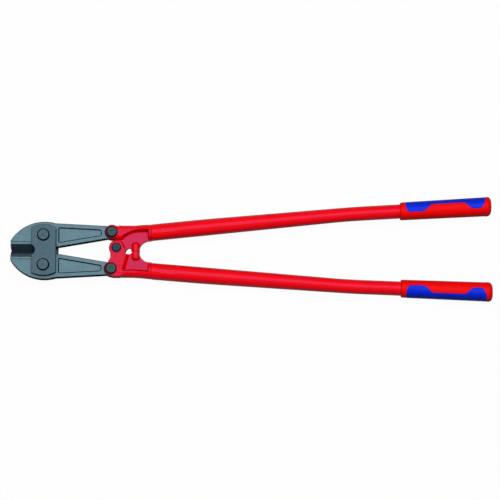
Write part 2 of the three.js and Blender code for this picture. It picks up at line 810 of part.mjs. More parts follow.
// The closed sleeve before its inlay is let in; its bore stops where the tube ends.
function gripSleeve() {
  const bore = tubeEndRadius + fitGap;
  const lipPeak = lipStartX + gripRound;
  return turnedAlongX([
    [tubeEndX + fitGap, 0],
    [tubeEndX + fitGap, bore],
    [gripStartX, bore],
    [gripStartX, gripStartRadius - gripRound / 2],
    [gripStartX + gripRound / 4, gripStartRadius - gripRound / 7],
    [gripStartX + gripRound, gripOuter(gripStartX + gripRound)],
    [lipStartX, gripOuter(lipStartX)],
    [lipPeak, gripLipRadius],
    [gripEndX - gripEndRound, gripLipRadius],
    [gripEndX - gripEndRound / 3, gripLipRadius - gripEndRound / 3],
    [gripEndX, gripLipRadius - gripEndRound],
    [gripEndX, 0],
  ]);
}

// The inlay's outline seen from the front: two lobes joined by a strip, open outwards.
function inlayOutline(side, grown) {
  const outer = 2 * gripLipRadius;
  const [first, second] = inlayLobes;
  const outline = roundedOutline([
    [inlayStartX - grown, outer],
    [inlayStartX - grown, inlayStripLow, inlayRound],
    [first[0] - grown, inlayLobeLow - grown, inlayRound],
    [first[1] + grown, inlayLobeLow - grown, inlayRound],
    [first[1] + inlaySlope + grown, inlayStripLow - grown, inlayRound],
    [second[0] - inlaySlope - grown, inlayStripLow - grown, inlayRound],
    [second[0] - grown, inlayLobeLow - grown, inlayRound],
    [second[1] + grown, inlayLobeLow - grown, inlayRound],
    [inlayEndX + grown, inlayStripLow, inlayRound],
    [inlayEndX + grown, outer],
  ]);
  return slab(side > 0 ? outline : flipped(outline), -2 * gripLipRadius, 2 * gripLipRadius);
}

// The layer of the grip's skin that the inlay takes up, between two depths.
function gripLayer(side, above, below, grown) {
  const places = [gripStartX + gripRound, lipStartX, gripEndX - gripEndRound];
  const top = places.map((x) => [x, gripOuter(x) + above]);
  const bottom = places.map((x) => [x, gripOuter(x) - below]).reverse();
  const ring = toSolid(ontoHandle(turnedAlongX([...top, ...bottom, top[0]]), side));
  return ring.intersect(toSolid(ontoHandle(inlayOutline(side, grown), side)));
}

for (const [name, side] of [['upper', 1], ['lower', -1]]) {
  const sleeve = toSolid(ontoHandle(gripSleeve(), side));
  const pocket = gripLayer(side, gripLipRadius, inlayDepth + fitGap, fitGap);
  addPiece(`${name}_grip_sleeve`, sleeve.subtract(pocket), gripRed);
  addPiece(`${name}_grip_inlay`, gripLayer(side, inlayProud, inlayDepth, 0), gripBlue);
}

// ------------------------------------------------------------------ the tool on its surface

const bounds = new THREE.Box3().setFromObject(tool);
const middle = bounds.getCenter(new THREE.Vector3());
tool.position.set(-middle.x, -middle.y, -bounds.min.z);
tool.updateMatrixWorld(true);

export default tool;
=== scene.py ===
# %% [markdown]
# # Compound bolt cutters
#
# Two short jaws sit between two side plates. Their tails are driven by two forged handle
# ends, which turn on each other at a centre pin, so a long pull on the handles becomes a
# short and very strong bite. Long tubes and moulded grips complete the tool.
#
# The frame holds every piece at its real size and says what moves. Here each piece is
# modelled again with fine surfaces, in the same place, and given its finish.

# %% Load the frame
import math

import bpy
from mathutils import Matrix, Vector


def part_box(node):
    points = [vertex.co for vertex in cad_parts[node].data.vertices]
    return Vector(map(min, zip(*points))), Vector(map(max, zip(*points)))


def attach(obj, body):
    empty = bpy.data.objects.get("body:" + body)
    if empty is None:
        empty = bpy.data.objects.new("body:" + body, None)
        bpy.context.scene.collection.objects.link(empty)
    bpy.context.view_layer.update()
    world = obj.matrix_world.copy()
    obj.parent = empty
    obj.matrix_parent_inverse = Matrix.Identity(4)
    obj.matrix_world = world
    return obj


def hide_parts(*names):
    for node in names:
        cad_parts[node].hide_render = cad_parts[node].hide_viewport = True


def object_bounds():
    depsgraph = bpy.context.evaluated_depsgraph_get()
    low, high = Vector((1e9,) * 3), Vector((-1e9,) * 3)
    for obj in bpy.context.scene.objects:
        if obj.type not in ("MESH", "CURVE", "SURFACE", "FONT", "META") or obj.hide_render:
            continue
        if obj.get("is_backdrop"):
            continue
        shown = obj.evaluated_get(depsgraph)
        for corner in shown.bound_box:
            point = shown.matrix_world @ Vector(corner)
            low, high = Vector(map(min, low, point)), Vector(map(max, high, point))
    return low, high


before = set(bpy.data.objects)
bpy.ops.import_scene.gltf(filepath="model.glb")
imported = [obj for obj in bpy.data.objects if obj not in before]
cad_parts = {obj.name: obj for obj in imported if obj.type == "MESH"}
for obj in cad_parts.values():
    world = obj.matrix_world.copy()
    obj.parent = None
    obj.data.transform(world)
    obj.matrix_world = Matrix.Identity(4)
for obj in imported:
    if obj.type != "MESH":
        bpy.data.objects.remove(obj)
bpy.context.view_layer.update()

# %% [markdown]
# ## The head's own coordinates
#
# A toolmaker measures such a tool from the line between its two jaw bolts. All sizes below
# are in millimetres in that frame: X towards the grips, Y towards the upper handle and Z
# from the middle plane of the jaws to the front. The places of the five pins come from the
# boxes of the framed bolts.

# %% Set out the head
mm = 0.001


def middle_of(node):
    low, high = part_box(node)
    return (low + high) / 2


head = (middle_of("upper_jaw_bolt") + middle_of("lower_jaw_bolt")) / 2
head.z = middle_of("upper_jaw").z


def at(x, y, z=0.0):
    """A point of the head, in millimetres, as a place in the frame."""
    return head + mm * Vector((x, y, z))


def in_head(point):
    return (point - head) / mm


def pin_of(node):
    x, y, _ = in_head(middle_of(node))
    return x, y


def span(node, axis):
    """Where a framed node begins and ends along one axis of the head."""
    low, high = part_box(node)
    return in_head(low)[axis], in_head(high)[axis]


upper_jaw_pin = pin_of("upper_jaw_bolt")
lower_jaw_pin = pin_of("lower_jaw_bolt")
upper_tail_pin = pin_of("upper_tail_bolt")
lower_tail_pin = pin_of("lower_tail_bolt")
centre_pin = pin_of("centre_bolt")
print("pins:", [tuple(round(c, 2) for c in pin) for pin in (upper_tail_pin, lower_tail_pin, centre_pin)])

# %% [markdown]
# ## The camera
#
# The tool lies on its back and is seen from almost straight above, a little from the lower
# handle's side, through a long lens. A long lens keeps the two handles nearly parallel to
# the picture plane.

# %% Place the camera
view_elevation = 80
view_distance = 5000
view_middle = (389.8, 2)
picture_width = 945.5  # at the view's distance

camera_data = bpy.data.cameras.new("Camera")
camera = bpy.data.objects.new("Camera", camera_data)
bpy.context.scene.collection.objects.link(camera)
bpy.context.scene.camera = camera
camera_data.lens = camera_data.sensor_width * view_distance / picture_width
tilt = math.radians(view_elevation)
camera.location = at(
    view_middle[0],
    view_middle[1] - view_distance * math.cos(tilt),
    view_distance * math.sin(tilt),
)
camera.rotation_euler = (math.pi / 2 - tilt, 0, 0)
print("lens:", round(camera_data.lens, 1), "mm")

# %% [markdown]
# ## Drawing outlines
#
# Forged and stamped pieces start as flat outlines. A modeller draws one by collapsing a
# plane to a single vertex and extruding that vertex: a straight stretch is one extrusion,
# and a round stretch is a spin about the arc's centre. Filled and extruded, the outline
# becomes a slab. Drawing it this way keeps true arcs and true corner radii.

# %% The pen
arc_step = 5  # degrees


def edit_alone(piece):
    """Opens one piece in edit mode with all of it selected."""
    leave_edit_mode()
    bpy.context.view_layer.objects.active = piece
    piece.select_set(True)
    bpy.ops.object.mode_set(mode="EDIT")
    bpy.ops.mesh.select_all(action="SELECT")


def leave_edit_mode():
    if bpy.context.mode != "OBJECT":
        bpy.ops.object.mode_set(mode="OBJECT")
    bpy.ops.object.select_all(action="DESELECT")


def one_vertex(name, place):
    """A new mesh of a single selected vertex, open in edit mode."""
    leave_edit_mode()
    bpy.ops.mesh.primitive_plane_add(size=mm, location=place)
    piece = bpy.context.object
    piece.name = name
    bpy.ops.object.mode_set(mode="EDIT")
    bpy.ops.mesh.select_mode(type="VERT")
    bpy.ops.mesh.select_all(action="SELECT")
    bpy.ops.mesh.merge(type="CENTER")
    return piece


class Pen:
    """Draws an outline in the head's XY plane by extruding and spinning one vertex."""

    def __init__(self, name, x, y):
        self.piece = one_vertex(name, at(x, y))
        self.tip = Vector((x, y))

    def line(self, x, y):
        step = Vector((x, y)) - self.tip
        if step.length > 0.01:
            move = {"value": (mm * step.x, mm * step.y, 0)}
            bpy.ops.mesh.extrude_region_move(TRANSFORM_OT_translate=move)
            self.tip = Vector((x, y))

    def arc(self, x, y, degrees):
        """Turns about a centre, anticlockwise if degrees is positive; Spin itself turns clockwise."""
        steps = max(2, round(abs(degrees) / arc_step))
        turn = math.radians(degrees)
        bpy.ops.mesh.spin(steps=steps, angle=-turn, center=at(x, y), axis=(0, 0, 1))
        centre = Vector((x, y))
        self.tip = centre + Matrix.Rotation(turn, 2) @ (self.tip - centre)

    def close(self):
        bpy.ops.mesh.select_all(action="SELECT")
        bpy.ops.mesh.remove_doubles(threshold=0.02 * mm)
        bpy.ops.mesh.edge_face_add()
        return self.piece


print("a quarter circle takes", 90 // arc_step, "steps")

# %% [markdown]
# ## Rounded corners
#
# Few corners of a forging are sharp. A rounded corner is an arc that touches both of its
# sides, so where it starts and where its centre lies follow from the corner and the radius.

# %% Rounded corners


def corner_round(before, corner, after, radius):
    """Where an arc of this radius starts in a corner, its centre, and how far it turns."""
    here = Vector(corner[:2])
    back = (Vector(before[:2]) - here).normalized()
    ahead = (Vector(after[:2]) - here).normalized()
    half = back.angle(ahead) / 2
    centre = here + (back + ahead).normalized() * radius / math.sin(half)
    start = here + back * radius / math.tan(half)
    side = 1 if back.x * ahead.y - back.y * ahead.x < 0 else -1
    return start, centre, side * (180 - 2 * math.degrees(half))


def outline(name, corners):
    """A filled outline through corners (x, y) or (x, y, radius)."""
    pen = None
    for i, corner in enumerate(corners):
        after = corners[(i + 1) % len(corners)]
        if len(corner) == 3:
            start, centre, degrees = corner_round(corners[i - 1], corner, after, corner[2])
        else:
            start = Vector(corner)
        if pen is None:
            pen = Pen(name, *start)
        else:
            pen.line(*start)
        if len(corner) == 3:
            pen.arc(*centre, degrees)
    return pen.close()


print("a square corner turns by", round(corner_round((0, 9), (0, 0), (9, 0), 4)[2]), "degrees")

# %% [markdown]
# ## Slabs and sloping faces
#
# One extrusion makes a slab of a filled outline. A wall that came out of a die leans, and an
# inset that is raised at the same time gives a face such a leaning border. The faces are
# found by their place or by the way they look, as a hand would pick them.

# %% Slabs and sloping faces


def thicken(piece, low, high):
    """Makes a slab of a filled outline, between two heights."""
    bpy.ops.mesh.select_all(action="SELECT")
    bpy.ops.transform.translate(value=(0, 0, mm * low))
    rise = {"value": (0, 0, mm * (high - low))}
    bpy.ops.mesh.extrude_region_move(TRANSFORM_OT_translate=rise)
    bpy.ops.mesh.select_all(action="SELECT")
    bpy.ops.mesh.normals_make_consistent(inside=False)
    return piece


def select_faces(piece, wanted):
    """Selects the faces whose middle, in the head's millimetres, and normal are wanted."""
    bpy.ops.mesh.select_mode(type="FACE")
    bpy.ops.mesh.select_all(action="DESELECT")
    bpy.ops.object.mode_set(mode="OBJECT")
    place = piece.matrix_world
    for face in piece.data.polygons:
        face.select = wanted(in_head(place @ face.center), face.normal)
    bpy.ops.object.mode_set(mode="EDIT")


def slope_faces(piece, wanted, *steps):
    """Insets faces and raises them, once for each (inwards, outwards) step."""
    select_faces(piece, wanted)
    for inwards, outwards in steps:
        bpy.ops.mesh.inset(thickness=mm * inwards, depth=mm * outwards)
    bpy.ops.mesh.select_all(action="DESELECT")
    return piece


level_limit = 0.9  # how much of a level face's normal lies along Z, at least


def is_level(_, normal):
    return abs(normal.z) > level_limit


def is_underside(_, normal):
    return normal.z < -level_limit


def apply_place(piece):
    """Puts a piece's origin at the frame's origin, unturned and unscaled."""
    leave_edit_mode()
    bpy.context.view_layer.objects.active = piece
    piece.select_set(True)
    bpy.ops.object.transform_apply(location=True, rotation=True, scale=True)
    return piece


print("a level face leans by less than", round(math.degrees(math.acos(level_limit))), "degrees")

# %% [markdown]
# ## Cutting, joining and rounding
#
# Holes, slots and ground faces are cut with the Boolean modifier, as a mill would cut them
# after forging. Edges are rounded with the Bevel modifier, limited by angle so that the fine
# steps of an arc are left alone. Each modifier is applied at once, so every piece ends as a
# plain mesh.

# %% Cutting and rounding
sharp_turn = 35  # degrees


def apply_modifier(piece, kind, **settings):
    leave_edit_mode()
    bpy.context.view_layer.objects.active = piece
    piece.select_set(True)
    modifier = piece.modifiers.new(kind, kind)
    for name, value in settings.items():
        setattr(modifier, name, value)
    bpy.ops.object.modifier_apply(modifier=modifier.name)
    return piece


def cut_with(piece, *cutters, operation="DIFFERENCE"):
    for cutter in cutters:
        apply_modifier(piece, "BOOLEAN", operation=operation, solver="EXACT", object=cutter)
        bpy.data.objects.remove(cutter)
    return piece


def round_edges(piece, width, segments=3):
    return apply_modifier(
        piece,
        "BEVEL",
        width=mm * width,
        segments=segments,
        limit_method="ANGLE",
        angle_limit=math.radians(sharp_turn),
        harden_normals=False,
    )


print("edges are rounded where they turn by more than", sharp_turn, "degrees")

# %% [markdown]
# ## Bars, blocks and their mirror images
#
# Round and square stock serves as blanks and as cutters. Front and back are alike on such a
# tool, and so are the upper and the lower side, so a shape is made once and then copied,
# mirrored or turned over. A mirror turns a mesh inside out, so its faces are set outwards
# again.

# %% Bars, blocks and mirror images


def rod(name, pin, radius, low, high, sides=64):
    """A plain round bar along Z, standing on a pin's place."""
    leave_edit_mode()
    bpy.ops.mesh.primitive_cylinder_add(
        vertices=sides,
        radius=mm * radius,
        depth=mm * (high - low),
        location=at(*pin, (low + high) / 2),
    )
    piece = bpy.context.object
    piece.name = name
    return piece


def block(name, x1, x2, y1, y2, z1, z2):
    leave_edit_mode()
    bpy.ops.mesh.primitive_cube_add(size=1, location=at((x1 + x2) / 2, (y1 + y2) / 2, (z1 + z2) / 2))
    piece = bpy.context.object
    piece.name = name
    piece.scale = mm * Vector((x2 - x1, y2 - y1, z2 - z1))
    return apply_place(piece)


def face_outwards(piece):
    edit_alone(piece)
    bpy.ops.mesh.normals_make_consistent(inside=False)
    leave_edit_mode()
    return piece


def copy_of(piece):
    twin = piece.copy()
    twin.data = piece.data.copy()
    bpy.context.scene.collection.objects.link(twin)
    return twin


def about_head(matrix):
    """The same turn or mirror, about the head's origin instead of the frame's."""
    return Matrix.Translation(head) @ matrix @ Matrix.Translation(-head)


def flip_over(piece):
    """Turns a piece over about the head's X axis, as the lower jaw is the upper one turned."""
    leave_edit_mode()
    piece.matrix_world = about_head(Matrix.Rotation(math.pi, 4, "X")) @ piece.matrix_world
    return apply_place(piece)


def turned_back(piece):
    """Mirrors a piece from the front to the back of the head's middle plane."""
    piece.matrix_world = about_head(Matrix.Diagonal((1, 1, -1, 1)))
    return face_outwards(apply_place(piece))


def mirrored(corners, side):
    """Corners given outwards from the axis, for the upper (1) or the lower (-1) handle."""
    return [(corner[0], side * corner[1], *corner[2:]) for corner in corners]


print("the lower side of (10, 4) is", mirrored([(10, 4)], -1)[0])

# %% [markdown]
# ## Handing over a piece
#
# A finished piece lies with its origin in the frame's, is shaded smooth up to a sharp edge
# and gets its finish. Then it is hung on the body it rides, so that it moves with it, and
# the framed nodes it stands for are hidden.

# %% Hand over
made = []


def hand_over(piece, body, nodes, finish, smooth=32):
    """Finishes a piece: its place, its shading, its material and the nodes it stands for."""
    apply_place(piece)
    piece.select_set(True)
    bpy.ops.object.shade_smooth_by_angle(angle=math.radians(smooth))
    apply_modifier(piece, "WEIGHTED_NORMAL", keep_sharp=True, weight=50)
    piece.data.materials.clear()
    piece.data.materials.append(finish)
    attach(piece, body)
    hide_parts(*nodes)
    made.append(piece)
    print(f"{piece.name}: {len(piece.data.polygons)} faces")
    return piece


print("framed pieces to model:", len(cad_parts))

# %% [markdown]
# ## Shared surface effects
#
# Three effects return in several finishes, so each is a node group that is built once. Fine
# grain mixes a broad mottle with a small-scale texture and gives a value for colour and a
# height for bump. Drawn lines stretches noise along one direction, as belt grinding and
# drawing leave it on steel. Both read Object coordinates, which are the frame's own metres.
# Steep sides tells the walls from the faces, so that shade can be painted onto the walls.

# %% Node tools


def new_group(name, inputs, outputs):
    group = bpy.data.node_groups.new(name, "ShaderNodeTree")
    for socket_name, default in inputs:
        kind = "NodeSocketVector" if isinstance(default, tuple) else "NodeSocketFloat"
        socket = group.interface.new_socket(socket_name, in_out="INPUT", socket_type=kind)
        socket.default_value = default
    for socket_name in outputs:
        group.interface.new_socket(socket_name, in_out="OUTPUT", socket_type="NodeSocketFloat")
    return group, group.nodes.new("NodeGroupInput"), group.nodes.new("NodeGroupOutput")


def add_node(tree, kind, inputs=None, **settings):
    """A node with its settings, and its inputs set to values or linked to sockets."""
    node = tree.nodes.new(kind)
    for name, value in settings.items():
        setattr(node, name, value)
    for name, value in (inputs or {}).items():
        if isinstance(value, bpy.types.NodeSocket):
            tree.links.new(value, node.inputs[name])
        else:
            node.inputs[name].default_value = value
    return node


def math_node(tree, operation, first, second):
    return add_node(tree, "ShaderNodeMath", {0: first, 1: second}, operation=operation).outputs[0]


def scale_for(tree, size):
    """A noise scale, in waves for each metre, that gives grains of a size in millimetres."""
    return math_node(tree, "DIVIDE", 1000.0, size)


print("node groups so far:", len(bpy.data.node_groups))

# %% [markdown]
# Each group has named inputs, so every finish sets its own sizes and limits.

# %% Node groups


def build_fine_grain():
    group, given, result = new_group(
        "Fine grain", [("Mottle size", 8.0), ("Grain size", 0.6)], ["Mottle", "Height"]
    )
    place = add_node(group, "ShaderNodeTexCoord").outputs["Object"]
    broad = {"Vector": place, "Scale": scale_for(group, given.outputs["Mottle size"])}
    fine = {"Vector": place, "Scale": scale_for(group, given.outputs["Grain size"])}
    mottle = add_node(group, "ShaderNodeTexNoise", {**broad, "Detail": 4.0, "Roughness": 0.6})
    grain = add_node(group, "ShaderNodeTexNoise", {**fine, "Detail": 2.0})
    group.links.new(mottle.outputs["Fac"], result.inputs["Mottle"])
    group.links.new(grain.outputs["Fac"], result.inputs["Height"])
    return group


def build_drawn_lines():
    group, given, result = new_group(
        "Drawn lines", [("Stretch", (1.0, 0.04, 1.0)), ("Line width", 0.5)], ["Lines"]
    )
    place = add_node(group, "ShaderNodeTexCoord").outputs["Object"]
    factors = {0: place, 1: given.outputs["Stretch"]}
    drawn = add_node(group, "ShaderNodeVectorMath", factors, operation="MULTIPLY").outputs[0]
    scale = scale_for(group, given.outputs["Line width"])
    lines = add_node(group, "ShaderNodeTexNoise", {"Vector": drawn, "Scale": scale, "Detail": 3.0})
    group.links.new(lines.outputs["Fac"], result.inputs["Lines"])
    return group


def build_steep_sides():
    """How steep the surface stands: 0 on a face that looks front or back, 1 on a wall."""
    group, given, result = new_group("Steep sides", [("From", 0.9), ("To", 0.4)], ["Share"])
    facing = add_node(group, "ShaderNodeTexCoord").outputs["Normal"]
    across = add_node(group, "ShaderNodeSeparateXYZ", {0: facing}).outputs["Z"]
    level = math_node(group, "ABSOLUTE", across, 0)
    limits = {"Value": level, "From Min": given.outputs["From"], "From Max": given.outputs["To"]}
    share = add_node(group, "ShaderNodeMapRange", limits)
    group.links.new(share.outputs["Result"], result.inputs["Share"])
    return group


fine_grain = build_fine_grain()
drawn_lines = build_drawn_lines()
steep_sides = build_steep_sides()
print("node groups:", [group.name for group in (fine_grain, drawn_lines, steep_sides)])

# %% [markdown]
# ## Material tools
#
# Colours are given in the ordinary steps from 0 to 255. Noise keeps near its middle, so it is
# stretched before it mixes two colours. What is the same all over a finish is set on the
# shader itself, and only what changes over the surface comes from nodes.

# %% Material tools


def srgb(red, green, blue):
    """A colour given in ordinary 0 to 255 steps, as the linear values that shaders use."""

    def linear(step):
        share = step / 255
        return share / 12.92 if share <= 0.04045 else ((share + 0.055) / 1.055) ** 2.4

    return (linear(red), linear(green), linear(blue), 1.0)


def new_material(name, **constants):
    material = bpy.data.materials.new(name)
    material.use_nodes = True
    shader = material.node_tree.nodes["Principled BSDF"]
    for socket, value in constants.items():
        shader.inputs[socket.replace("_", " ")].default_value = value
    return material, material.node_tree, shader


def use_group(tree, group, **values):
    inputs = {name.replace("_", " "): value for name, value in values.items()}
    return add_node(tree, "ShaderNodeGroup", inputs, node_tree=group)


def mix_colours(tree, share, first, second):
    inputs = {"Factor": share, "A": first, "B": second}
    return add_node(tree, "ShaderNodeMix", inputs, data_type="RGBA").outputs["Result"]


def spread(tree, value, low, high, to_low, to_high):
    """Maps a value's range to another."""
    inputs = {"Value": value, "From Min": low, "From Max": high, "To Min": to_low, "To Max": to_high}
    return add_node(tree, "ShaderNodeMapRange", inputs).outputs["Result"]


def full_range(tree, noise):
    """Stretches noise, which keeps near its middle, over the whole range from 0 to 1."""
    return spread(tree, noise, 0.35, 0.65, 0.0, 1.0)


def vary_roughness(tree, shader, noise, roughness):
    rough = spread(tree, noise, 0.3, 0.7, roughness - 0.04, roughness + 0.04)
    tree.links.new(rough, shader.inputs["Roughness"])


def on_walls(tree, colour, wall_colour, start, full):
    """Mixes in a wall colour, none of it on faces as level as start and all of it at full; most finishes
    paint shade onto their walls with it.
    """
    share = use_group(tree, steep_sides, From=start, To=full).outputs["Share"]
    return mix_colours(tree, share, colour, wall_colour)


def place_in(tree):
    return add_node(tree, "ShaderNodeTexCoord").outputs["Object"]


def away_from(tree, coordinate, middle):
    """How far one coordinate of the surface lies from a plane, on either side."""
    return math_node(tree, "ABSOLUTE", math_node(tree, "SUBTRACT", coordinate, middle), 0)


def bump(tree, shader, height, depth):
    """Raises the surface by a height map; depth is in millimetres."""
    node = add_node(tree, "ShaderNodeBump", {"Height": height, "Strength": 1.0, "Distance": depth * mm})
    tree.links.new(node.outputs["Normal"], shader.inputs["Normal"])


print("middle grey:", round(srgb(128, 128, 128)[0], 3), "as a linear value")

# %% [markdown]
# ## Steel
#
# Jaws, plates and bolts are hardened steel under a thin grey-blue phosphate coat, blasted
# before it was coated. It is only half a metal to the eye: it shows a broad soft sheen and
# a mottled body colour. Shade is painted onto its walls, nearly black, and along the
# ground bevels of the cutting edges, dark grey. One function makes all the steels, and
# each has its own colour, roughness and direction of drawn lines.

# %% Steel finishes
# Painted shade: a near-black colour for the steels' walls.
painted_wall_shade = srgb(19, 27, 32)
# Painted shade: dark grey along the ground bevels of the cutting edges.
painted_bevel_shade = srgb(40, 54, 63)
bevel_shade_middle, bevel_shade_half = 3.3, 8.8  # across the jaws, in the head's millimetres
bevel_shade_end = 24


def shade_on_bevels(tree, colour):
    """Paints shade along the ground bevels of the cutting edges, up to where the bevels end."""
    axes = add_node(tree, "ShaderNodeSeparateXYZ", {0: place_in(tree)}).outputs
    off_axis = away_from(tree, axes["Y"], at(0, bevel_shade_middle).y)
    limits = (bevel_shade_half - 0.3) * mm, (bevel_shade_half + 0.3) * mm
    band = spread(tree, off_axis, *limits, 1.0, 0.0)
    limits = at(bevel_shade_end, 0).x, at(bevel_shade_end + 2, 0).x
    before = spread(tree, axes["X"], *limits, 1.0, 0.0)
    return mix_colours(tree, math_node(tree, "MULTIPLY", band, before), colour, painted_bevel_shade)


def steel(name, light, dark, roughness, metallic, stretch, mottle=9.0, wall=0.6, ground=False):
    """Coated steel with shade painted on its walls, and along the bevels if ground; mottle is the size of
    its patches, wall how steep a face is where the painted wall shade is full.
    """
    dim = (0.12, 0.12, 0.12, 1)
    material, tree, shader = new_material(
        name, Metallic=metallic, Specular_IOR_Level=0.0, Specular_Tint=dim
    )
    grain = use_group(tree, fine_grain, Mottle_size=mottle, Grain_size=0.5).outputs
    lines = use_group(tree, drawn_lines, Stretch=stretch, Line_width=0.8).outputs["Lines"]
    body = math_node(tree, "MULTIPLY", grain["Mottle"], 0.7)
    both = math_node(tree, "ADD", body, math_node(tree, "MULTIPLY", lines, 0.3))
    colour = mix_colours(tree, full_range(tree, both), dark, light)
    # Painted shade along the ground bevels.
    if ground:
        colour = shade_on_bevels(tree, colour)
    # Painted shade: the walls turn nearly black.
    colour = on_walls(tree, colour, painted_wall_shade, 0.97, wall)
    tree.links.new(colour, shader.inputs["Base Color"])
    vary_roughness(tree, shader, grain["Mottle"], roughness)
    bump(tree, shader, math_node(tree, "ADD", grain["Height"], lines), 0.05)
    return material


along_y = (1.0, 0.03, 1.0)
along_x = (0.03, 1.0, 1.0)
evenly = (1.0, 1.0, 1.0)
# The jaws also take painted shade along their ground bevels.
jaw_finish = steel(
    "blasted jaw steel", srgb(83, 106, 115), srgb(69, 90, 99), 0.38, 0.35, along_x, wall=0.74, ground=True
)
plate_finish = steel("dull plate steel", srgb(71, 90, 99), srgb(57, 75, 85), 0.42, 0.3, along_y)
head_finish = steel("bolt head steel", srgb(68, 88, 97), srgb(53, 72, 82), 0.42, 0.3, evenly, 5.0)
pin_finish = steel("dark pin steel", srgb(60, 73, 72), srgb(38, 59, 58), 0.4, 0.3, evenly, 4.0)
cap_finish = steel("slate cap steel", srgb(50, 60, 70), srgb(40, 51, 62), 0.4, 0.25, evenly, 6.0)
print("steels:", [m.name for m in (jaw_finish, plate_finish, head_finish, pin_finish, cap_finish)])

# %% [markdown]
# ## Paint and grips
#
# The handles wear a thick red enamel with a soft sheen and the faint waviness of sprayed
# paint. Shade is painted into it: dark red on the walls, a darker red on the level faces, a
# darker pinker tone with a painted sheen down on the webs, and painted shadows in rings round
# the pins. The grips are moulded in red, a little duller, with a smooth blue inlay, and
# shade is painted on their walls too.

# %% Paint and plastic finishes
web_half = 5  # half the thickness of the thin webs between the handles


def painted_face_shade(tree, colour, face_shade_colour, web_shade_colour):
    """Paints shade onto faces that look front or back, and a darker, pinker shade with a painted sheen
    down on the webs.
    """
    height = add_node(tree, "ShaderNodeSeparateXYZ", {0: place_in(tree)}).outputs["Z"]
    above = away_from(tree, height, head.z)
    low = spread(tree, above, (web_half + 1) * mm, (web_half + 2) * mm, 1.0, 0.0)
    level = mix_colours(tree, low, face_shade_colour, web_shade_colour)
    return on_walls(tree, level, colour, 0.99, 0.93)


def painted_pin_shadow(tree, colour, middle, radius):
    """Paints a shadow into the paint round a pin's head, fading out at the ring's rim."""
    fade = 1.6
    pin_shadow_colour = srgb(62, 12, 20)
    pin = at(*middle)
    factors = {0: place_in(tree), 1: (1, 1, 0)}
    flat = add_node(tree, "ShaderNodeVectorMath", factors, operation="MULTIPLY").outputs[0]
    ends = {0: flat, 1: (pin.x, pin.y, 0)}
    away = add_node(tree, "ShaderNodeVectorMath", ends, operation="DISTANCE").outputs["Value"]
    pin_shadow_share = spread(tree, away, radius * mm, (radius + fade) * mm, 1.0, 0.0)
    return mix_colours(tree, pin_shadow_share, colour, pin_shadow_colour)


def enamel(name, face_and_web_shades=None, pin_shadow_rings=()):
    material, tree, shader = new_material(
        name, Roughness=0.32, Specular_IOR_Level=0.17, Specular_Tint=(1.0, 0.4, 1.0, 1)
    )
    grain = use_group(tree, fine_grain, Mottle_size=30.0, Grain_size=2.2).outputs
    colour = mix_colours(tree, full_range(tree, grain["Mottle"]), srgb(224, 1, 5), srgb(232, 3, 8))
    # Painted shade on the level faces and the webs.
    if face_and_web_shades:
        colour = painted_face_shade(tree, colour, *face_and_web_shades)
    # Painted shade: the walls turn dark red.
    colour = on_walls(tree, colour, srgb(112, 0, 4), 0.74, 0.2)
    # Painted shadows in rings round the pins.
    for middle, radius in pin_shadow_rings:
        colour = painted_pin_shadow(tree, colour, middle, radius)
    tree.links.new(colour, shader.inputs["Base Color"])
    bump(tree, shader, grain["Height"], 0.02)
    return material


def moulded(name, light, dark, side, roughness, turn):
    """Plastic with shade painted on its walls; turn says how level a face has to be to keep its full
    colour.
    """
    material, tree, shader = new_material(name, Specular_IOR_Level=0.06)
    grain = use_group(tree, fine_grain, Mottle_size=14.0, Grain_size=0.7).outputs
    colour = mix_colours(tree, full_range(tree, grain["Mottle"]), dark, light)
    # Painted shade: the walls turn to the dark side colour.
    colour = on_walls(tree, colour, side, turn, 0.15)
    tree.links.new(colour, shader.inputs["Base Color"])
    vary_roughness(tree, shader, grain["Height"], roughness)
    bump(tree, shader, grain["Height"], 0.04)
    return material


tube_enamel = enamel("red tube enamel")
# Painted shadows round the pins' heads, shifted a little towards the jaws and the lower handle.
shadowed_pins = [
    ((upper_tail_pin[0] - 1.6, upper_tail_pin[1] - 0.8), 11.2),
    ((lower_tail_pin[0] - 1.6, lower_tail_pin[1] - 0.8), 11.2),
    ((centre_pin[0] - 0.4, centre_pin[1] - 0.5), 9.0),
]
# Painted shade on the level faces, and darker, pinker painted shade and sheen on the webs.
forging_enamel = enamel("red forging enamel", (srgb(205, 2, 10), srgb(190, 22, 54)), shadowed_pins)
# The third colours are the painted shade on the walls of the grips and the inlays.
red_grip = moulded("red grip plastic", srgb(232, 1, 2), srgb(226, 0, 1), srgb(130, 0, 2), 0.5, 0.8)
blue_inlay = moulded("blue inlay plastic", srgb(8, 44, 214), srgb(5, 36, 202), srgb(1, 1, 70), 0.4, 0.99)
print("finishes:", [m.name for m in (tube_enamel, forging_enamel, red_grip, blue_inlay)])

# %% [markdown]
# ## The jaws
#
# Each jaw is one forging: a rounded back, a heel that rolls on its neighbour, and a straight
# arm that runs out into a round tail. The outline is drawn from the edge's tip round by the
# back. Where a straight side runs into the round tail it touches it, so the meeting points
# are worked out as tangents.

# %% Jaw outline
jaw_half = span("upper_jaw", 2)[1]
jaw_tip = -span("upper_jaw", 0)[0]
edge_gap = 0.03  # from the axis to each cutting edge
tip_lean = 1.1  # how far the cutting edge stays behind the blunt tip
tip_height = 12
tip_round = 4
back_radius = 75.2
back_middle = (1.7, -20)
back_to = 23  # where the round back ends
shoulder = (33, 51.6)
heel_turn = 32  # degrees of the heel's round
tail_radius = 11.3


def angle_of(centre, point):
    return math.degrees(math.atan2(point[1] - centre[1], point[0] - centre[0]))


def round_tangent(point, centre, radius, side):
    """Angle on a circle at which a line from a point touches it, on its left or right."""
    away = Vector(centre) - Vector(point)
    lean = math.degrees(math.asin(radius / away.length))
    return math.degrees(math.atan2(away.y, away.x)) + side * (lean + 90)


def on_circle(centre, radius, angle):
    turn = math.radians(angle)
    return centre[0] + radius * math.cos(turn), centre[1] + radius * math.sin(turn)


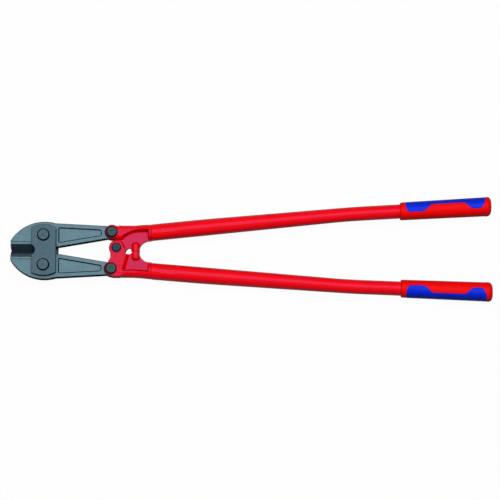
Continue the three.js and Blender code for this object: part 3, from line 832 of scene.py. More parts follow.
def jaw_outline(name, tail):
    """The jaw above the axis, from its edge's tip round by the back, the arm and the tail."""
    pin = upper_jaw_pin
    heel_radius = pin[1] - edge_gap
    heel_start = on_circle(pin, heel_radius, heel_turn - 90)
    round_x = tip_round - jaw_tip
    across = back_middle[0] - round_x
    round_y = back_middle[1] + math.sqrt((back_radius - tip_round) ** 2 - across**2)
    back_start = angle_of(back_middle, (round_x, round_y))
    back_end = math.degrees(math.acos((back_to - back_middle[0]) / back_radius))
    tail_top = round_tangent(shoulder, tail, tail_radius, 1)
    tail_bottom = round_tangent(heel_start, tail, tail_radius, -1)
    pen = Pen(name, tip_lean - jaw_tip, edge_gap)
    pen.line(-jaw_tip, tip_height)
    pen.line(-jaw_tip, round_y)
    pen.arc(round_x, round_y, back_start - 180)
    pen.arc(*back_middle, back_end - back_start)
    pen.line(*shoulder)
    pen.line(*on_circle(tail, tail_radius, tail_top))
    pen.arc(*tail, tail_bottom - tail_top)
    pen.line(*heel_start)
    pen.arc(*pin, -heel_turn)
    return pen.close(), heel_start


print("jaw:", round(2 * jaw_half, 1), "mm thick, its tip", round(jaw_tip, 1), "mm before the bolts")

# %% [markdown]
# ## The sunk panels
#
# On each side the arm has a sunk panel, a rim's width inside its outline, with leaning walls.
# Its cutter is a slab whose underside is inset and lowered in one step.

# %% Sunk panels
arm_rim = 7.4
panel_from, panel_to = 27.5, 109.8
panel_depth = 2.9
panel_slope = 1.9  # how far its walls lean in
shoulder_round, tail_round = 3, 4.9  # of its corners


def sunk_panel(tail, heel_start):
    """A cutter for the panel in the front of the arm."""
    top_slope = (tail[1] + tail_radius - shoulder[1]) / (tail[0] - shoulder[0])
    bottom_slope = (tail[1] - tail_radius - heel_start[1]) / (tail[0] - heel_start[0])

    def top(x):
        return shoulder[1] + (x - shoulder[0]) * top_slope - arm_rim

    def bottom(x):
        return heel_start[1] + (x - heel_start[0]) * bottom_slope + arm_rim

    corners = [
        (panel_from, bottom(panel_from), shoulder_round),
        (panel_to, bottom(panel_to), tail_round),
        (panel_to, top(panel_to), tail_round),
        (panel_from, top(panel_from), shoulder_round),
    ]
    panel = thicken(outline("panel cutter", corners), jaw_half, jaw_half + 4)
    return apply_place(slope_faces(panel, is_underside, (panel_slope, panel_depth)))


print("panels:", panel_depth, "mm deep")

# %% [markdown]
# ## The cutting edges
#
# The edge is ground from both sides: a thin land, a steep bevel, a softer second bevel and a
# shallow ground strip. Its section is drawn flat, made as long as the ground stretch and
# then stood up along the edge.

# %% Cutting edges
ground_end = -12
land = 0.3  # half the thickness of the edge itself
ground_section = [  # (distance from the axis, height)
    (-1, land),
    (edge_gap, land),
    (5.2, jaw_half - 4.4),
    (12.4, jaw_half - 0.5),
    (15.7, jaw_half - 0.5),
    (16.2, jaw_half - 1.5),
    (17.3, jaw_half - 1.5),
    (17.7, jaw_half + 1),
    (-1, jaw_half + 1),
]


def edge_cutter(side):
    """A long prism that takes away what is ground off beside the edge, in front or behind."""
    prism = thicken(outline("edge cutter", ground_section), 0, jaw_tip + ground_end + 1)
    leave_edit_mode()
    # The section was drawn flat: its X becomes Y, its Y becomes Z and its height becomes X.
    stand_up = Matrix(((0, 0, 1, 0), (1, 0, 0, 0), (0, side, 0, 0), (0, 0, 0, 1)))
    place = Matrix.Translation(at(-jaw_tip - 1, 0)) @ stand_up @ Matrix.Translation(-head)
    prism.matrix_world = place @ prism.matrix_world
    return face_outwards(apply_place(prism))


print("ground stretch:", round(jaw_tip + ground_end, 1), "mm long")

# %% [markdown]
# ## Both jaws
#
# The slab is rounded as it left the forge, and then the ground faces, the panels and the
# bores are cut, so that they stay crisp. The lower jaw is the same forging turned over. Its
# tail has a short slot instead of a bore, which gives the linkage its play.

# %% Both jaws
bore_play = 0.3
jaw_shank, tail_shank, centre_shank = 8, 5, 6  # radii of the bolts' shanks
bolt_bore = jaw_shank + bore_play
tail_bore = tail_shank + bore_play
jaw_edge_round = 1.9
slot_reach = 3.6
slot_lean = -14.5
through_jaw = (-jaw_half - 1, jaw_half + 1)


def jaw(name, tail):
    piece, heel_start = jaw_outline(name, tail)
    thicken(piece, -jaw_half, jaw_half)
    round_edges(apply_place(piece), jaw_edge_round, segments=5)
    front_panel = sunk_panel(tail, heel_start)
    rear_panel = turned_back(copy_of(front_panel))
    cut_with(piece, edge_cutter(1), edge_cutter(-1), front_panel, rear_panel)
    return cut_with(piece, rod("bolt bore", upper_jaw_pin, bolt_bore, *through_jaw))


def pill(name, middle, radius, reach, lean, low, high):
    """A slab with round ends; it reaches a distance each way along Y and leans from it."""
    x, y = middle
    pen = Pen(name, x + radius, y - reach)
    pen.line(x + radius, y + reach)
    pen.arc(x, y + reach, 180)
    pen.line(x - radius, y - reach)
    pen.arc(x, y - reach, 180)
    piece = thicken(pen.close(), low, high)
    leave_edit_mode()
    about = Matrix.Translation(at(x, y))
    turn = about @ Matrix.Rotation(math.radians(lean), 4, "Z") @ about.inverted()
    piece.matrix_world = turn @ piece.matrix_world
    return apply_place(piece)


upper = jaw("upper_jaw_forging", upper_tail_pin)
cut_with(upper, rod("tail bore", upper_tail_pin, tail_bore, *through_jaw))
hand_over(upper, "upper_jaw", ["upper_jaw"], jaw_finish, smooth=20)

lower_tail_turned = (lower_tail_pin[0], -lower_tail_pin[1])
lower = jaw("lower_jaw_forging", lower_tail_turned)
slot = pill("tail slot", lower_tail_turned, tail_bore, slot_reach, slot_lean, *through_jaw)
cut_with(lower, slot)
hand_over(flip_over(lower), "lower_jaw", ["lower_jaw"], jaw_finish, smooth=20)

# %% [markdown]
# ## The side plates
#
# Two thick plates carry the jaw bolts. They are discs cut off straight on both sides, with a
# round notch that lets the cutting edges be seen. Their edges are broken with a small
# rounding. The rear plate is counterbored for the nuts.

# %% Side plates
plate_low, plate_high = span("front_side_plate", 2)
plate_left, plate_right = span("front_side_plate", 0)
plate_disc = 49
plate_edge_round = 1.8
notch_radius = 9.8
notch_offset = 3.2
nut_seat_depth = 4.7
nut_seat_radius = 14.5


def side_plate(name, low, high, right_edge):
    left = 180 - math.degrees(math.acos(-plate_left / plate_disc))
    right = math.degrees(math.acos(right_edge / plate_disc))
    notch = (plate_left - notch_offset, 0)
    notch_turn = math.degrees(math.acos(notch_offset / notch_radius))
    pen = Pen(name, *on_circle((0, 0), plate_disc, -right))
    pen.line(*on_circle((0, 0), plate_disc, right))
    pen.arc(0, 0, left - right)
    pen.line(*on_circle(notch, notch_radius, notch_turn))
    pen.arc(*notch, -2 * notch_turn)
    pen.line(*on_circle((0, 0), plate_disc, -left))
    pen.arc(0, 0, left - right)
    piece = round_edges(apply_place(thicken(pen.close(), low, high)), plate_edge_round)
    return cut_with(
        piece,
        rod("bolt bore", upper_jaw_pin, bolt_bore, low - 1, high + 1),
        rod("bolt bore", lower_jaw_pin, bolt_bore, low - 1, high + 1),
    )


front_plate = side_plate("front_plate", plate_low, plate_high, plate_right)
hand_over(front_plate, "head", ["front_side_plate"], plate_finish)
rear_plate = side_plate("rear_plate", -plate_high, -plate_low, span("rear_side_plate", 0)[1])
for pin in (upper_jaw_pin, lower_jaw_pin):
    seat = rod("nut seat", pin, nut_seat_radius, -plate_high - 1, -plate_high + nut_seat_depth)
    cut_with(rear_plate, seat)
hand_over(rear_plate, "head", ["rear_side_plate"], plate_finish)

# %% [markdown]
# ## Turning
#
# Turned pieces are drawn as half a profile and spun once round their axis, which is what a
# lathe does. The bolts and washers turn about pins that stand along Z, and the handles'
# pieces about the head's X axis.

# %% Turning
pin_sides, tube_sides = 64, 96


def spin_round(name, path, middle, axis, sides):
    """Draws a path of (x, y, z) from one vertex and spins it once round an axis."""
    piece = one_vertex(name, at(*path[0]))
    for here, ahead in zip(path, path[1:]):
        step = tuple(mm * (to - start) for start, to in zip(here, ahead))
        bpy.ops.mesh.extrude_region_move(TRANSFORM_OT_translate={"value": step})
    bpy.ops.mesh.select_all(action="SELECT")
    bpy.ops.mesh.spin(steps=sides, angle=2 * math.pi, center=at(*middle), axis=axis)
    bpy.ops.mesh.select_all(action="SELECT")
    bpy.ops.mesh.remove_doubles(threshold=0.01 * mm)
    bpy.ops.mesh.normals_make_consistent(inside=False)
    return apply_place(piece)


def turned(name, pin, profile):
    """Turns a profile of (radius, z) about a pin; its ends lie on the axis or meet."""
    x, y = pin
    return spin_round(name, [(x + radius, y, z) for radius, z in profile], pin, (0, 0, 1), pin_sides)


def turned_along(name, profile):
    """Turns a profile of (x, radius) about the head's X axis."""
    return spin_round(name, [(x, radius, 0) for x, radius in profile], (0, 0), (1, 0, 0), tube_sides)


print("a turned pin has", pin_sides, "sides and a tube", tube_sides)

# %% [markdown]
# ## Bolts, washers and nuts
#
# A bolt's head is chamfered and a little domed, with the dimple that turning leaves. The nuts
# are six-sided bars whose corners a cone has taken off. The two tail pins have a small
# six-sided socket.

# %% Bolts, washers and nuts


def bolt_profile(shank_radius, shank_end, head_radius, seat, top, chamfer, dimple):
    """A round-headed bolt from its shank's end up; the head is chamfered, domed and dimpled."""
    dome = 0.3
    chamfer_height = 1.9 * chamfer
    face = head_radius - chamfer
    rim = top - dome
    return [
        (0, shank_end),
        (shank_radius - 1, shank_end),
        (shank_radius, shank_end + 1),
        (shank_radius, seat),
        (head_radius - 0.3, seat),
        (head_radius, seat + 0.3),
        (head_radius, rim - chamfer_height),
        (face + 0.3, rim - 0.25),
        (face, rim),
        (face * 0.6, top - dome / 4),
        (dimple, top),
        (dimple * 0.5, top - dimple * 0.4),
        (0, top - dimple * 0.5),
    ]


def nut(name, pin, across_flats, bore, low, high):
    """A hexagon nut, its corners taken off by a cone on both faces."""
    corner = across_flats / math.sqrt(3)
    blank = rod(name, pin, corner, low, high, sides=6)
    apply_place(blank)
    flat = across_flats / 2 - 0.2
    slope = (corner - flat) / math.sqrt(3)
    past = corner + 0.1
    cone = [(0, low), (flat, low), (past, low + slope), (past, high - slope), (flat, high), (0, high)]
    cut_with(blank, turned("nut cone", pin, cone), operation="INTERSECT")
    return cut_with(blank, rod("nut bore", pin, bore, low - 1, high + 1))


def washer(name, pin, radius, bore, low, high):
    edge = 0.2
    profile = [
        (bore, low),
        (radius - edge, low),
        (radius, low + edge),
        (radius, high - edge),
        (radius - edge, high),
        (bore, high),
        (bore, low),
    ]
    return turned(name, pin, profile)


def fit(node, pin, body, bolt, finish, slot, washer_radius, across_flats, shank):
    """Hands over a bolt with its washer and its nut."""
    hand_over(bolt, body, [f"{node}_bolt"], finish)
    bore = shank + bore_play
    ring = washer(f"{node}_washer_ring", pin, washer_radius, bore, *span(f"{node}_washer", 2))
    hand_over(ring, body, [f"{node}_washer"], pin_finish)
    hexagon = nut(f"{node}_nut_hex", pin, across_flats, bore, *span(f"{node}_nut", 2))
    hand_over(hexagon, body, [f"{node}_nut"], pin_finish)


jaw_head_radius = 12
jaw_washer_radius = 12
jaw_nut_flats = 24
for side, pin in (("upper", upper_jaw_pin), ("lower", lower_jaw_pin)):
    low, high = span(f"{side}_jaw_bolt", 2)
    profile = bolt_profile(jaw_shank, low, jaw_head_radius, plate_high, high, chamfer=2.4, dimple=1.3)
    bolt = turned(f"{side}_jaw_bolt_turned", pin, profile)
    sizes = jaw_washer_radius, jaw_nut_flats, jaw_shank
    fit(f"{side}_jaw", pin, "head", bolt, head_finish, "plate_steel", *sizes)

# %% [markdown]
# ## The handles' pins
#
# The two tail pins sit in shallow round seats, and the centre pin stands on the cheeks.

# %% Handle pins
cheek_half = -span("centre_washer", 2)[1]
through_cheeks = (-cheek_half - 1, cheek_half + 1)
seat_face = -span("upper_tail_washer", 2)[1]
head_seat = seat_face - 1.6  # the seats in front are a little deeper than those behind
socket_flats, socket_depth = 6, 1.6
pin_washer_radius = 10
pin_nut_flats = 17
handle_pins = (
    ("upper_tail", upper_tail_pin, "upper_handle", tail_shank, 10, head_seat, pin_finish, "bolt_steel"),
    ("lower_tail", lower_tail_pin, "lower_handle", tail_shank, 10, head_seat, pin_finish, "bolt_steel"),
    ("centre", centre_pin, "lower_handle", centre_shank, 8.6, cheek_half, cap_finish, "dark_steel"),
)
for node, pin, body, shank, head_radius, seat, finish, slot in handle_pins:
    low, high = span(f"{node}_bolt", 2)
    profile = bolt_profile(shank, low, head_radius, seat, high, chamfer=1.5, dimple=0.8)
    bolt = turned(f"{node}_pin", pin, profile)
    if node != "centre":
        corner = socket_flats / math.sqrt(3)
        cut_with(bolt, rod("socket", pin, corner, high - socket_depth, high + 1, sides=6))
    fit(node, pin, body, bolt, finish, slot, pin_washer_radius, pin_nut_flats, shank)

# %% [markdown]
# ## The handles' centre lines
#
# Both handles follow one law: a straight rise away from the middle line, eased down at two
# gentle bends. Pieces of the handles are turned about a straight axis and then laid onto
# this line, ring by ring.

# %% Handle line
parting = -1.85  # the height between the two stops
joint_x = 204
joint_spread = 37  # of each handle from the middle line, at the joint
first_rise = 5.3  # degrees
skew = 0.477  # degrees by which the middle line leans
bends = ((299, 80, -0.45), (579, 60, -2.15))  # (x, length, turn in degrees)


def handle_line(side, x):
    """Height of a handle's centre line at x; side is 1 for the upper handle."""
    slope = first_rise
    spread_here = joint_spread + math.tan(math.radians(slope)) * (x - joint_x)
    for bend_x, length, turn in bends:
        change = math.tan(math.radians(slope + turn)) - math.tan(math.radians(slope))
        past = x - bend_x
        eased = 0 if past <= -length / 2 else (past + length / 2) ** 2 / (2 * length)
        spread_here += change * (past if past >= length / 2 else eased)
        slope += turn
    return parting + math.tan(math.radians(skew)) * (x - joint_x) + side * spread_here


def onto_handle(piece, side):
    """Lays a piece that was made on the head's X axis onto a handle's centre line."""
    apply_place(piece)
    for vertex in piece.data.vertices:
        vertex.co.y += mm * handle_line(side, in_head(vertex.co).x)
    piece.data.update()
    return piece


print("the upper handle's line ends", round(handle_line(1, 847), 1), "mm above the axis")

# %% [markdown]
# ## The handle forgings
#
# A drop forging has no sharp inner corner: every wall slopes so that it leaves the die, and
# every foot is filleted. To get that, the main masses are modelled as overlapping slabs with
# sloping edges, joined, remeshed as one skin and smoothed, which runs them into each other.
# The slots, bores, seats and meeting faces are cut afterwards, because a mill cuts them into
# the finished forging, and so they stay sharp.

# %% Forging tools
ear_radius = 14.7
tube_radius = span("upper_handle_tube", 2)[1]
tube_wall = 2.2
skin_voxel = 0.55
skin_smoothing = 6
crisp_slope = ((1.2, 1.0),)  # steps (inwards, outwards) of an edge
web_slope = ((0.6, 0.6),)
ear_slope = ((0.35, 2.9), (0.85, 2.4), (1.7, 2.2))
cheek_slope = ((0.5, 2.2), (0.9, 1.8), (1.4, 1.0))
stop_slope = ((0.6, 2.6), (1.1, 2.0), (1.6, 1.3), (1.7, 0.6))


def raised(name, corners, slope, half):
    """A slab whose front and rear edges slope in, up to half a thickness."""
    rise = sum(outwards for _, outwards in slope)
    piece = thicken(outline(name, corners), rise - half, half - rise)
    slope_faces(piece, is_level, *slope)
    return apply_place(piece)


def raised_round(name, pin, radius, slope, half):
    rise = sum(outwards for _, outwards in slope)
    piece = rod(name, pin, radius, rise - half, half - rise)
    edit_alone(piece)
    slope_faces(piece, is_level, *slope)
    return apply_place(piece)


def forge(name, masses):
    """Joins overlapping masses into one smooth skin."""
    leave_edit_mode()
    for mass in masses:
        mass.select_set(True)
    bpy.context.view_layer.objects.active = masses[0]
    bpy.ops.object.join()
    piece = bpy.context.object
    piece.name = name
    apply_modifier(piece, "REMESH", mode="VOXEL", voxel_size=skin_voxel * mm)
    return apply_modifier(piece, "SMOOTH", factor=0.5, iterations=skin_smoothing)


print("skins are made of cells of", skin_voxel, "mm")

# %% [markdown]
# ## What the mill cuts
#
# Each handle end takes a jaw's tail in a fork, and a pin in a bore with a flat seat at each
# end. A spigot stands in its tube. These are the same for both ends but for their place.

# %% Mill cuts
slot_half = jaw_half + bore_play
fork_play = 1.2
head_seat_radius, washer_seat_radius = 11.6, 11.8
spigot_end = 262


def tail_fork(tail, side, play):
    """Cutters for the slot that takes a jaw's tail, open outwards and towards the jaws."""
    past = ear_radius + fork_play
    radius = tail_radius + fork_play + play
    x, y = tail
    outwards = sorted((y, y + side * past))
    inwards = sorted((y, y - side * past))
    return [
        rod("slot", tail, radius, -slot_half, slot_half),
        block("slot", x - past, x + radius, *outwards, -slot_half, slot_half),
        block("slot", x - past, x, *inwards, -slot_half, slot_half),
    ]


def tail_seats(tail):
    return [
        rod("pin bore", tail, tail_bore, *through_cheeks),
        rod("head seat", tail, head_seat_radius, head_seat, cheek_half + 1),
        rod("washer seat", tail, washer_seat_radius, -cheek_half - 1, -seat_face),
    ]


def spigot(side):
    inside = tube_radius - tube_wall - bore_play
    start = joint_x - 3
    chamfer = 1.5
    rim = [(spigot_end - chamfer, inside), (spigot_end, inside - chamfer), (spigot_end, 0)]
    return onto_handle(turned_along("spigot", [(start, 0), (start, inside), *rim]), side)


print("forks:", round(2 * slot_half, 1), "mm wide for a jaw of", round(2 * jaw_half, 1), "mm")

# %% [markdown]
# ## Bars
#
# Each forging carries a round bar, as thick as the tube that follows. The bar is turned on a
# straight axis and laid onto a line that runs from the tail pin to the tube. Its front and
# back are a little flattened, and it ends in a collar.

# %% Bars
bar_radius = 14.7
bar_flats = ((122, 13.2), (174, 13.2), (192, 15.4))  # (x, height of the flattened front)
bar_widens = 174
bar_end = 203.8
collar_radius = 15.4
collar_start = 197.4
bar_lines = {  # (x, distance from the axis)
    1: ((upper_tail_pin[0], 35.1), (150, 33.9), (174, 33.9), (187, 35.0), (joint_x, 35.15)),
    -1: ((lower_tail_pin[0], 35.1), (150, 36.6), (168, 36.7), (181, 37.2), (196, 38.3), (joint_x, 38.85)),
}


def along(points, x):
    """Height at x of a line through points."""
    for (x1, y1), (x2, y2) in zip(points, points[1:]):
        if x <= x2:
            return y1 + (y2 - y1) * (x - x1) / (x2 - x1)
    return points[-1][1]


def bar(side, recess):
    """The round bar of one handle end, less a recess in front and behind, and its collar."""
    line = bar_lines[side]
    start = line[0][0]
    stations = [start + (bar_end - start) * i / 20 for i in range(21)]
    swell = (collar_radius - bar_radius) / (bar_end - bar_widens)
    skin = [(x, bar_radius + swell * max(x - bar_widens, 0)) for x in stations]
    piece = turned_along("bar", [(start, 0), *skin, (bar_end, 0)])
    for vertex in piece.data.vertices:
        x, _, z = in_head(vertex.co)
        flat = along(bar_flats, x)
        vertex.co.z += mm * (min(max(z, -flat), flat) - z)
        vertex.co.y += mm * side * along(line, x)
    cut_with(piece, recess(1), recess(-1))
    ring = [(collar_start, 0), (collar_start, collar_radius - 2.4), (collar_start + 1.4, collar_radius)]
    ring += [(bar_end, collar_radius), (bar_end, 0)]
    return [piece, onto_handle(turned_along("collar", ring), side)]


print("bars:", 2 * bar_radius, "mm thick, with a collar of", 2 * collar_radius, "mm")

# %% [markdown]
# ## Recesses
#
# Beside the bar a die has pressed a recess with leaning walls, which leaves only the thin
# web. Its cutter's underside is inset as deep as the recess, and on the lower handle it is
# also shifted, so that the walls lean more on one side than on the other.

# %% Recesses


def recess_cutter(corners, lean, shift):
    """Returns a maker of the recess in front (1) or behind (-1); its walls lean and shift."""

    def cutter(face):
        piece = thicken(outline("recess", corners), cheek_half, cheek_half + 8)
        slope_faces(piece, is_underside, (lean, cheek_half - web_half))
        select_faces(piece, is_underside)
        bpy.ops.transform.translate(value=(mm * shift[0], mm * shift[1], 0))
        return apply_place(piece) if face > 0 else turned_back(apply_place(piece))

    return cutter


upper_recess = recess_cutter(
    [
        (139, 17.5),
        (151.5, 29.3, 4),
        (163, 35.9, 30),
        (174, 39.1, 20),
        (202, 39.5),
        (202, 5),
        (139, 5),
    ],
    4.5,
    (0, 0),
)
lower_recess = recess_cutter(
    [
        (157.5, -2),
        (146.7, -40.2, 5),
        (168, -39.6, 30),
        (202, -42),
        (202, -2),
    ],
    4.75,
    (1.25, -1.25),
)
print("recesses:", round(cheek_half - web_half, 1), "mm deep")

# %% [markdown]
# ## Stops and window
#
# Between the handles each end has a round stop. With the jaws shut the two stops stand face
# to face, a fine gap apart, and a small window beside them shows the table.

# %% Stops and window
stop_start, stop_end = 166.6, 181.4
stop_half = 12  # half its thickness
stop_low, stop_high = -13, 17.2  # from the parting, before it is cut there
stop_round = 6
parting_gap = 0.3  # each stop ends this far from the parting
parting_start, parting_end = 160.2, 183
parting_reach = 28  # past all that lies beyond the parting
throat_start, throat_round = 180.7, 20
throat_depth = 16.5  # from the bar's line inwards
window_corners = [
    (154, -7.4, 2.6),
    (165.4, -7.4, 4.6),
    (165.4, 4.9, 4.2),
    (160.2, 4.9, 2.2),
    (154, -1.3, 2),
]


def window():
    return apply_place(thicken(outline("window", window_corners), *through_cheeks))


def stop_boss(side):
    low, high = side * parting + stop_low, side * parting + stop_high
    corners = [
        (stop_start, low, stop_round),
        (stop_end, low, stop_round),
        (stop_end, high, stop_round),
        (stop_start, high, stop_round),
    ]
    return raised("stop", mirrored(corners, side), stop_slope, stop_half)


def parting_cut(side):
    """Takes away what a handle end has beyond the parting."""
    low, high = sorted((-side * parting_reach, parting + side * parting_gap))
    return block("parting", parting_start, parting_end, low, high, *through_cheeks)


def throat(side):
    """The web's rounded end between the handles, outwards from the axis."""
    edge = bar_lines[side][-1][1] - throat_depth
    return [(throat_start, edge, throat_round), (bar_end, edge)]


print("stops:", 2 * stop_half, "mm thick and", round(stop_end - stop_start, 1), "mm long")

# %% [markdown]
# ## The handle ends
#
# The masses of a handle end are put together and forged into one skin: a flank or cheeks, the
# bar and its collar, the ear, what turns about the centre pin, the web and the stop. Then
# the mill's cuts follow, and the spigot is set.

# %% Handle ends
tongue_drop = 9.7  # from the centre pin down to the tongue's lower edge


def handle_end(name, side, tail, recess, flank, hub, play, rooms):
    """Forges one handle end around its flank and its hub, and mills its fork and its rooms."""
    cut_with(flank, recess(1), recess(-1))
    ear = raised_round("ear", tail, ear_radius, ear_slope, cheek_half)
    piece = forge(name, [flank, *bar(side, recess), ear, *hub, stop_boss(side)])
    centre_bore = rod("pin bore", centre_pin, centre_shank + bore_play, *through_cheeks)
    cutters = [window(), parting_cut(side), *tail_fork(tail, side, play), *tail_seats(tail)]
    cut_with(piece, *cutters, *rooms, centre_bore)
    return cut_with(piece, spigot(side), operation="UNION")


print("handle ends leave", fork_play, "mm round a jaw's tail")

# %% [markdown]
# The upper end has a flank that runs down to the tongue. The tongue is as thick as the jaws
# and lies between the cheeks of the lower end, so the cheeks' room is cut in front of it and
# behind it.

# %% Upper handle end


def upper_forging():
    cx, cy = centre_pin
    tail_x = upper_tail_pin[0]
    flank = [
        (tail_x, 20.7),
        (146.5, 20.7, 2.5),
        (160, 31.3, 14.7),
        (160, 36),
        (152, 44, 6),
        (tail_x + 17, 49.8, 9),
        (tail_x, 49.8),
    ]
    web = [
        (cx, cy - tongue_drop),
        (160, cy - tongue_drop),
        (160, -1.7),
        (throat_start, -1.7),
        *throat(1),
        (bar_end, 38),
        (160, 38),
        (144.2, 35.1),
        (cx, 12.5),
    ]
    room = ear_radius + bore_play
    return handle_end(
        "upper_handle_end",
        1,
        upper_tail_pin,
        upper_recess,
        raised("flank", flank, crisp_slope, cheek_half),
        [
            raised("web", web, web_slope, web_half),
            raised_round("tongue", centre_pin, ear_radius, web_slope, jaw_half),
        ],
        0,
        [
            rod("cheek room", centre_pin, room, jaw_half, cheek_half + 1),
            rod("cheek room", centre_pin, room, -cheek_half - 1, -jaw_half),
        ],
    )


hand_over(upper_forging(), "upper_handle", ["upper_handle_forging"], forging_enamel)

# %% [markdown]
# The lower end has two cheeks with the tongue's room between them. The room opens upwards
# and reaches far enough round the centre pin for the tongue to swing.

# %% Lower handle end


def lower_forging():
    cx, cy = centre_pin
    tail_x = lower_tail_pin[0]
    body = [
        (cx - 13.2, -cy),
        (126.2, 3.7, 14.7),
        (126.2, 14.4, 2.5),
        (tail_x - 7.3, 23.4),
        (tail_x, 35.1),
        (tail_x, 49.8),
        (tail_x + 17, 50.2, 9),
        (152, 46, 6),
        (162, 40),
        (164, 8),
        (cx + 13.2, -cy),
    ]
    web = [
        (cx + 7.3, 2),
        (throat_start, 2),
        *throat(-1),
        (bar_end, 41.2),
        (cx + 7.3, 41.2),
    ]
    room = ear_radius + fork_play
    foot = cy - tongue_drop - bore_play
    return handle_end(
        "lower_handle_end",
        -1,
        lower_tail_pin,
        lower_recess,
        raised("cheeks", mirrored(body, -1), crisp_slope, cheek_half),
        [
            raised_round("cheek", centre_pin, ear_radius, cheek_slope, cheek_half),
            raised("web", mirrored(web, -1), web_slope, web_half),
        ],
        slot_reach,
        [
            rod("tongue room", centre_pin, room, -slot_half, slot_half),
            block("tongue room", cx - 2 * room, cx, cy - room, 2 * room, -slot_half, slot_half),
            block("tongue room", cx, cx + 2 * room, foot, 2 * room, -slot_half, slot_half),
        ],
    )


hand_over(lower_forging(), "lower_handle", ["lower_handle_forging"], forging_enamel)

# %% [markdown]
# ## The tubes
#
# The tubes are drawn steel, tapered towards the grips and bent a little in two places. Near
# its joint each tube is crimped onto the spigot by a shallow oval press mark.

# %% Tubes
tube_end_radius = 13.45
taper_from, taper_to = 299, 560
tube_end = span("upper_handle_tube", 0)[1]
crimp_x = 234.5
crimp_radius, crimp_reach = 4.2, 11.6
crimp_depth = 1.9
crimp_dish = (1.0, 0.01)  # from its rim inwards, and deeper


def tube_outer(x):
    share = min(max((x - taper_from) / (taper_to - taper_from), 0), 1)
    return tube_radius + share * (tube_end_radius - tube_radius)


def crimp():
    """A cutter for the press mark in front: a pill laid along the tube."""
    low, high = tube_radius - crimp_depth, tube_radius + 2
    mark = pill("crimp", (crimp_x, 0), crimp_radius, crimp_reach, 90, low, high)
    edit_alone(mark)
    return apply_place(slope_faces(mark, is_underside, crimp_dish))


def handle_tube(name, side):
    steps = 36
    stations = [joint_x + (tube_end - joint_x) * i / steps for i in range(steps + 1)]
    outer = [(x, tube_outer(x)) for x in stations]
    outer[0:1] = [(joint_x, tube_radius - 0.3), (joint_x + 0.3, tube_radius)]
    inner = [(x, radius - tube_wall) for x, radius in reversed(outer[1:])]
    start = (joint_x, tube_radius - tube_wall)
    tube = turned_along(name, [*outer, *inner, start, outer[0]])
    return onto_handle(cut_with(tube, crimp(), turned_back(crimp())), side)


hand_over(handle_tube("upper_tube", 1), "upper_handle", ["upper_handle_tube"], tube_enamel)
hand_over(handle_tube("lower_tube", -1), "lower_handle", ["lower_handle_tube"], tube_enamel)

# %% [markdown]
# ## The grips' sleeves
#
# Each grip is a moulded sleeve with a lip at its end, so that a hand can't slip off. It is
# turned in one piece, widens a little towards the lip and closes over the tube's end.

# %% Grip sleeves
grip_start, grip_end = 674, 847.3
grip_radii = (16.9, 18.1, 18.6)  # near its start, before the lip and on the lip
grip_shoulder = 4  # where its straight skin starts
lip_start = grip_end - 13
grip_steps = 16
start_round = ((0, 1.8), (0.5, 0.9), (1.4, 0.2))  # steps (from the end, below the skin)
lip_round = ((9, 0), (6.6, 0.3), (4.6, 1.2), (2.8, 2.8), (1.4, 5.2), (0.6, 8), (0.2, 12))


def grip_outer(x):
    share = min(max((x - grip_start) / (lip_start - grip_start), 0), 1)
    return grip_radii[0] + share * (grip_radii[1] - grip_radii[0])


def grip_places(end):
    start = grip_start + grip_shoulder
    return [start + (end - start) * i / grip_steps for i in range(grip_steps + 1)]


def grip_body(name):
    bore = tube_end_radius + bore_play
    return turned_along(
        name,
        [
            (tube_end + bore_play, 0),
            (tube_end + bore_play, bore),
            (grip_start, bore),
            *[(grip_start + ahead, grip_radii[0] - drop) for ahead, drop in start_round],
            *[(x, grip_outer(x)) for x in grip_places(lip_start)],
            (lip_start + 1, grip_outer(lip_start) + 0.2),
            *[(grip_end - back, grip_radii[2] - drop) for back, drop in lip_round],
            (grip_end, 0),
        ],
    )


print("grips:", round(grip_end - grip_start, 1), "mm long")

# %% [markdown]
# ## The inlays
#
# The outer side of a grip holds a smooth inlay with two lobes. The inlay and its pocket are
# cut out of a ring of the sleeve's skin by one shape, which is a little larger for the
# pocket.

# %% Inlays
inlay_play = 0.3
inlay_proud, inlay_depth = 0.2, 1.6
lobe_low, strip_low = -5, 7.9
inlay_round = 8


def skin_layer(name, above, below):
    """The ring of the grip's skin between two depths."""
    places = grip_places(grip_end - 4)
    top = [(x, grip_outer(x) + above) for x in places]
    bottom = [(x, grip_outer(x) - below) for x in reversed(places)]
    return turned_along(name, [*top, *bottom, top[0]])


def inlay_shape(side, grown):
    low, strip = lobe_low - grown, strip_low - grown
    corners = [
        (684 - grown, 40),
        (684 - grown, strip_low, inlay_round),
        (688 - grown, low, inlay_round),
        (719 + grown, low, inlay_round),
        (733 + grown, strip, inlay_round),
        (796 - grown, strip, inlay_round),
        (810 - grown, low, inlay_round),
        (828 + grown, low, inlay_round),
        (835 + grown, strip_low, inlay_round),
        (835 + grown, 40),
    ]
    return apply_place(thicken(outline("inlay shape", mirrored(corners, side)), -40, 40))


print("inlays stand", inlay_proud, "mm proud")

# %% [markdown]
# ## Both grips
#
# The inner side is ribbed for the fingers by a row of round grooves.

# %% Both grips
rib_pitch = 7.7
rib_first, rib_count = 762, 10
groove_radius, groove_depth = 4.0, 0.7


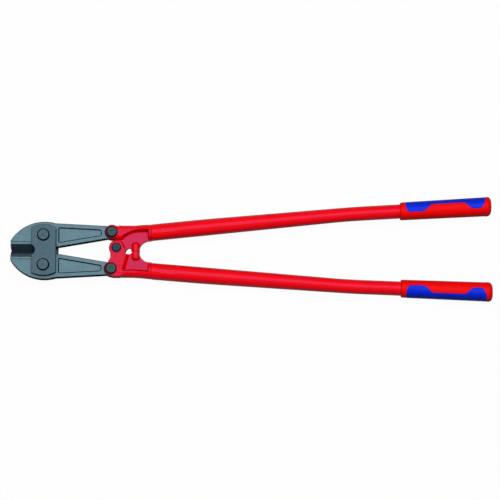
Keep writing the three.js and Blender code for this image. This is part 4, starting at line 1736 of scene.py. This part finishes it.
def grip(upper_or_lower, side):
    body = f"{upper_or_lower}_handle"
    sleeve = grip_body(f"{upper_or_lower}_sleeve")
    pocket = skin_layer("pocket", 10, inlay_depth + inlay_play)
    cut_with(sleeve, cut_with(pocket, inlay_shape(side, inlay_play), operation="INTERSECT"))
    for i in range(rib_count):
        x = rib_first + i * rib_pitch
        middle = -side * (grip_outer(x) + groove_radius - groove_depth)
        cut_with(sleeve, rod("groove", (x, middle), groove_radius, -30, 30, sides=24))
    inlay = skin_layer(f"{upper_or_lower}_inlay", inlay_proud, inlay_depth)
    cut_with(inlay, inlay_shape(side, 0), operation="INTERSECT")
    onto_handle(sleeve, side)
    onto_handle(inlay, side)
    hand_over(sleeve, body, [f"{upper_or_lower}_grip_sleeve"], red_grip)
    hand_over(inlay, body, [f"{upper_or_lower}_grip_inlay"], blue_inlay)


grip("upper", 1)
grip("lower", -1)

# %% [markdown]
# ## The table
#
# The tool lies on a plain white table. The table shows itself white to the camera and in
# reflections, throws only a dim bounce on matt surfaces and keeps a faint shadow.

# %% Table


def white_table():
    material, tree, shader = new_material("white table", Roughness=0.9, Specular_IOR_Level=0.0)
    path = add_node(tree, "ShaderNodeLightPath").outputs
    mirrored_ray = math_node(tree, "MAXIMUM", path["Is Glossy Ray"], path["Is Transmission Ray"])
    seen = math_node(tree, "MAXIMUM", path["Is Camera Ray"], mirrored_ray)
    grey, white = (0.25, 0.25, 0.25, 1), (0.7, 0.7, 0.7, 1)
    tree.links.new(mix_colours(tree, seen, grey, white), shader.inputs["Base Color"])
    glow = add_node(tree, "ShaderNodeEmission", {"Color": (1, 1, 1, 1), "Strength": 1.0})
    # The camera sees mostly the glow; the rest is lit, so it keeps the shadow.
    first = math_node(tree, "MULTIPLY", path["Is Camera Ray"], 0.95)
    share = math_node(tree, "ADD", first, math_node(tree, "MULTIPLY", mirrored_ray, 0.1))
    mixed = add_node(tree, "ShaderNodeMixShader")
    tree.links.new(share, mixed.inputs[0])
    tree.links.new(shader.outputs[0], mixed.inputs[1])
    tree.links.new(glow.outputs[0], mixed.inputs[2])
    tree.links.new(mixed.outputs[0], tree.nodes["Material Output"].inputs["Surface"])
    leave_edit_mode()
    bpy.ops.mesh.primitive_plane_add(size=16, location=(0, 0, 0))
    table = bpy.context.object
    table.name = "table"
    table.data.materials.append(material)
    table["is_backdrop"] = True
    return table


table = white_table()
print("table:", round(table.dimensions.x), "m wide")

# %% [markdown]
# ## Light
#
# Soft studio light. A large soft box hangs above the tool, a little towards the upper handle,
# so that flat faces catch it and tubes show one long highlight. Two weak ones open up the
# shadows on both sides, and so does the dim light of the room.

# %% Light


def soft_box(name, lean, distance, half_length, half_width, radiance, colour=(1, 1, 1)):
    """A lamp that leans from straight above towards +Y; its half sizes are angles in degrees."""
    light = bpy.data.lights.new(name, "AREA")
    light.shape = "RECTANGLE"
    light.size = 2 * distance * math.tan(math.radians(half_length))
    light.size_y = 2 * distance * math.tan(math.radians(half_width))
    light.energy = math.pi * radiance * light.size * light.size_y
    light.color = colour
    lamp = bpy.data.objects.new(name, light)
    bpy.context.scene.collection.objects.link(lamp)
    turn = math.radians(lean)
    lamp.location = (0, distance * math.sin(turn), distance * math.cos(turn))
    lamp.rotation_euler = (-turn, 0, 0)
    return lamp


def room_light(colour, strength):
    world = bpy.data.worlds.new("studio")
    bpy.context.scene.world = world
    world.use_nodes = True
    background = world.node_tree.nodes["Background"]
    background.inputs["Color"].default_value = colour
    background.inputs["Strength"].default_value = strength


room_light((0.95, 0.97, 1.0, 1), 0.22)
lamps = [
    soft_box("overhead", 10, 4, 25, 20, 5.0, (0.98, 0.99, 1.0)),
    soft_box("side", 52, 4, 18, 12, 0.4),
    soft_box("front", -36, 4, 22, 12, 0.6),
]
bpy.context.scene.view_settings.view_transform = "Standard"
print("lamps:", [(lamp.name, round(lamp.data.energy, 1)) for lamp in lamps])

# %% [markdown]
# ## Measure and finish
#
# The number of pieces made and the finished model's box are printed. The finished model has
# to stay inside the frame's own box.

# %% Measure and finish
low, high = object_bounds()
print("pieces made:", len(made))
print("model box in mm:", [round(1000 * side, 1) for side in high - low])
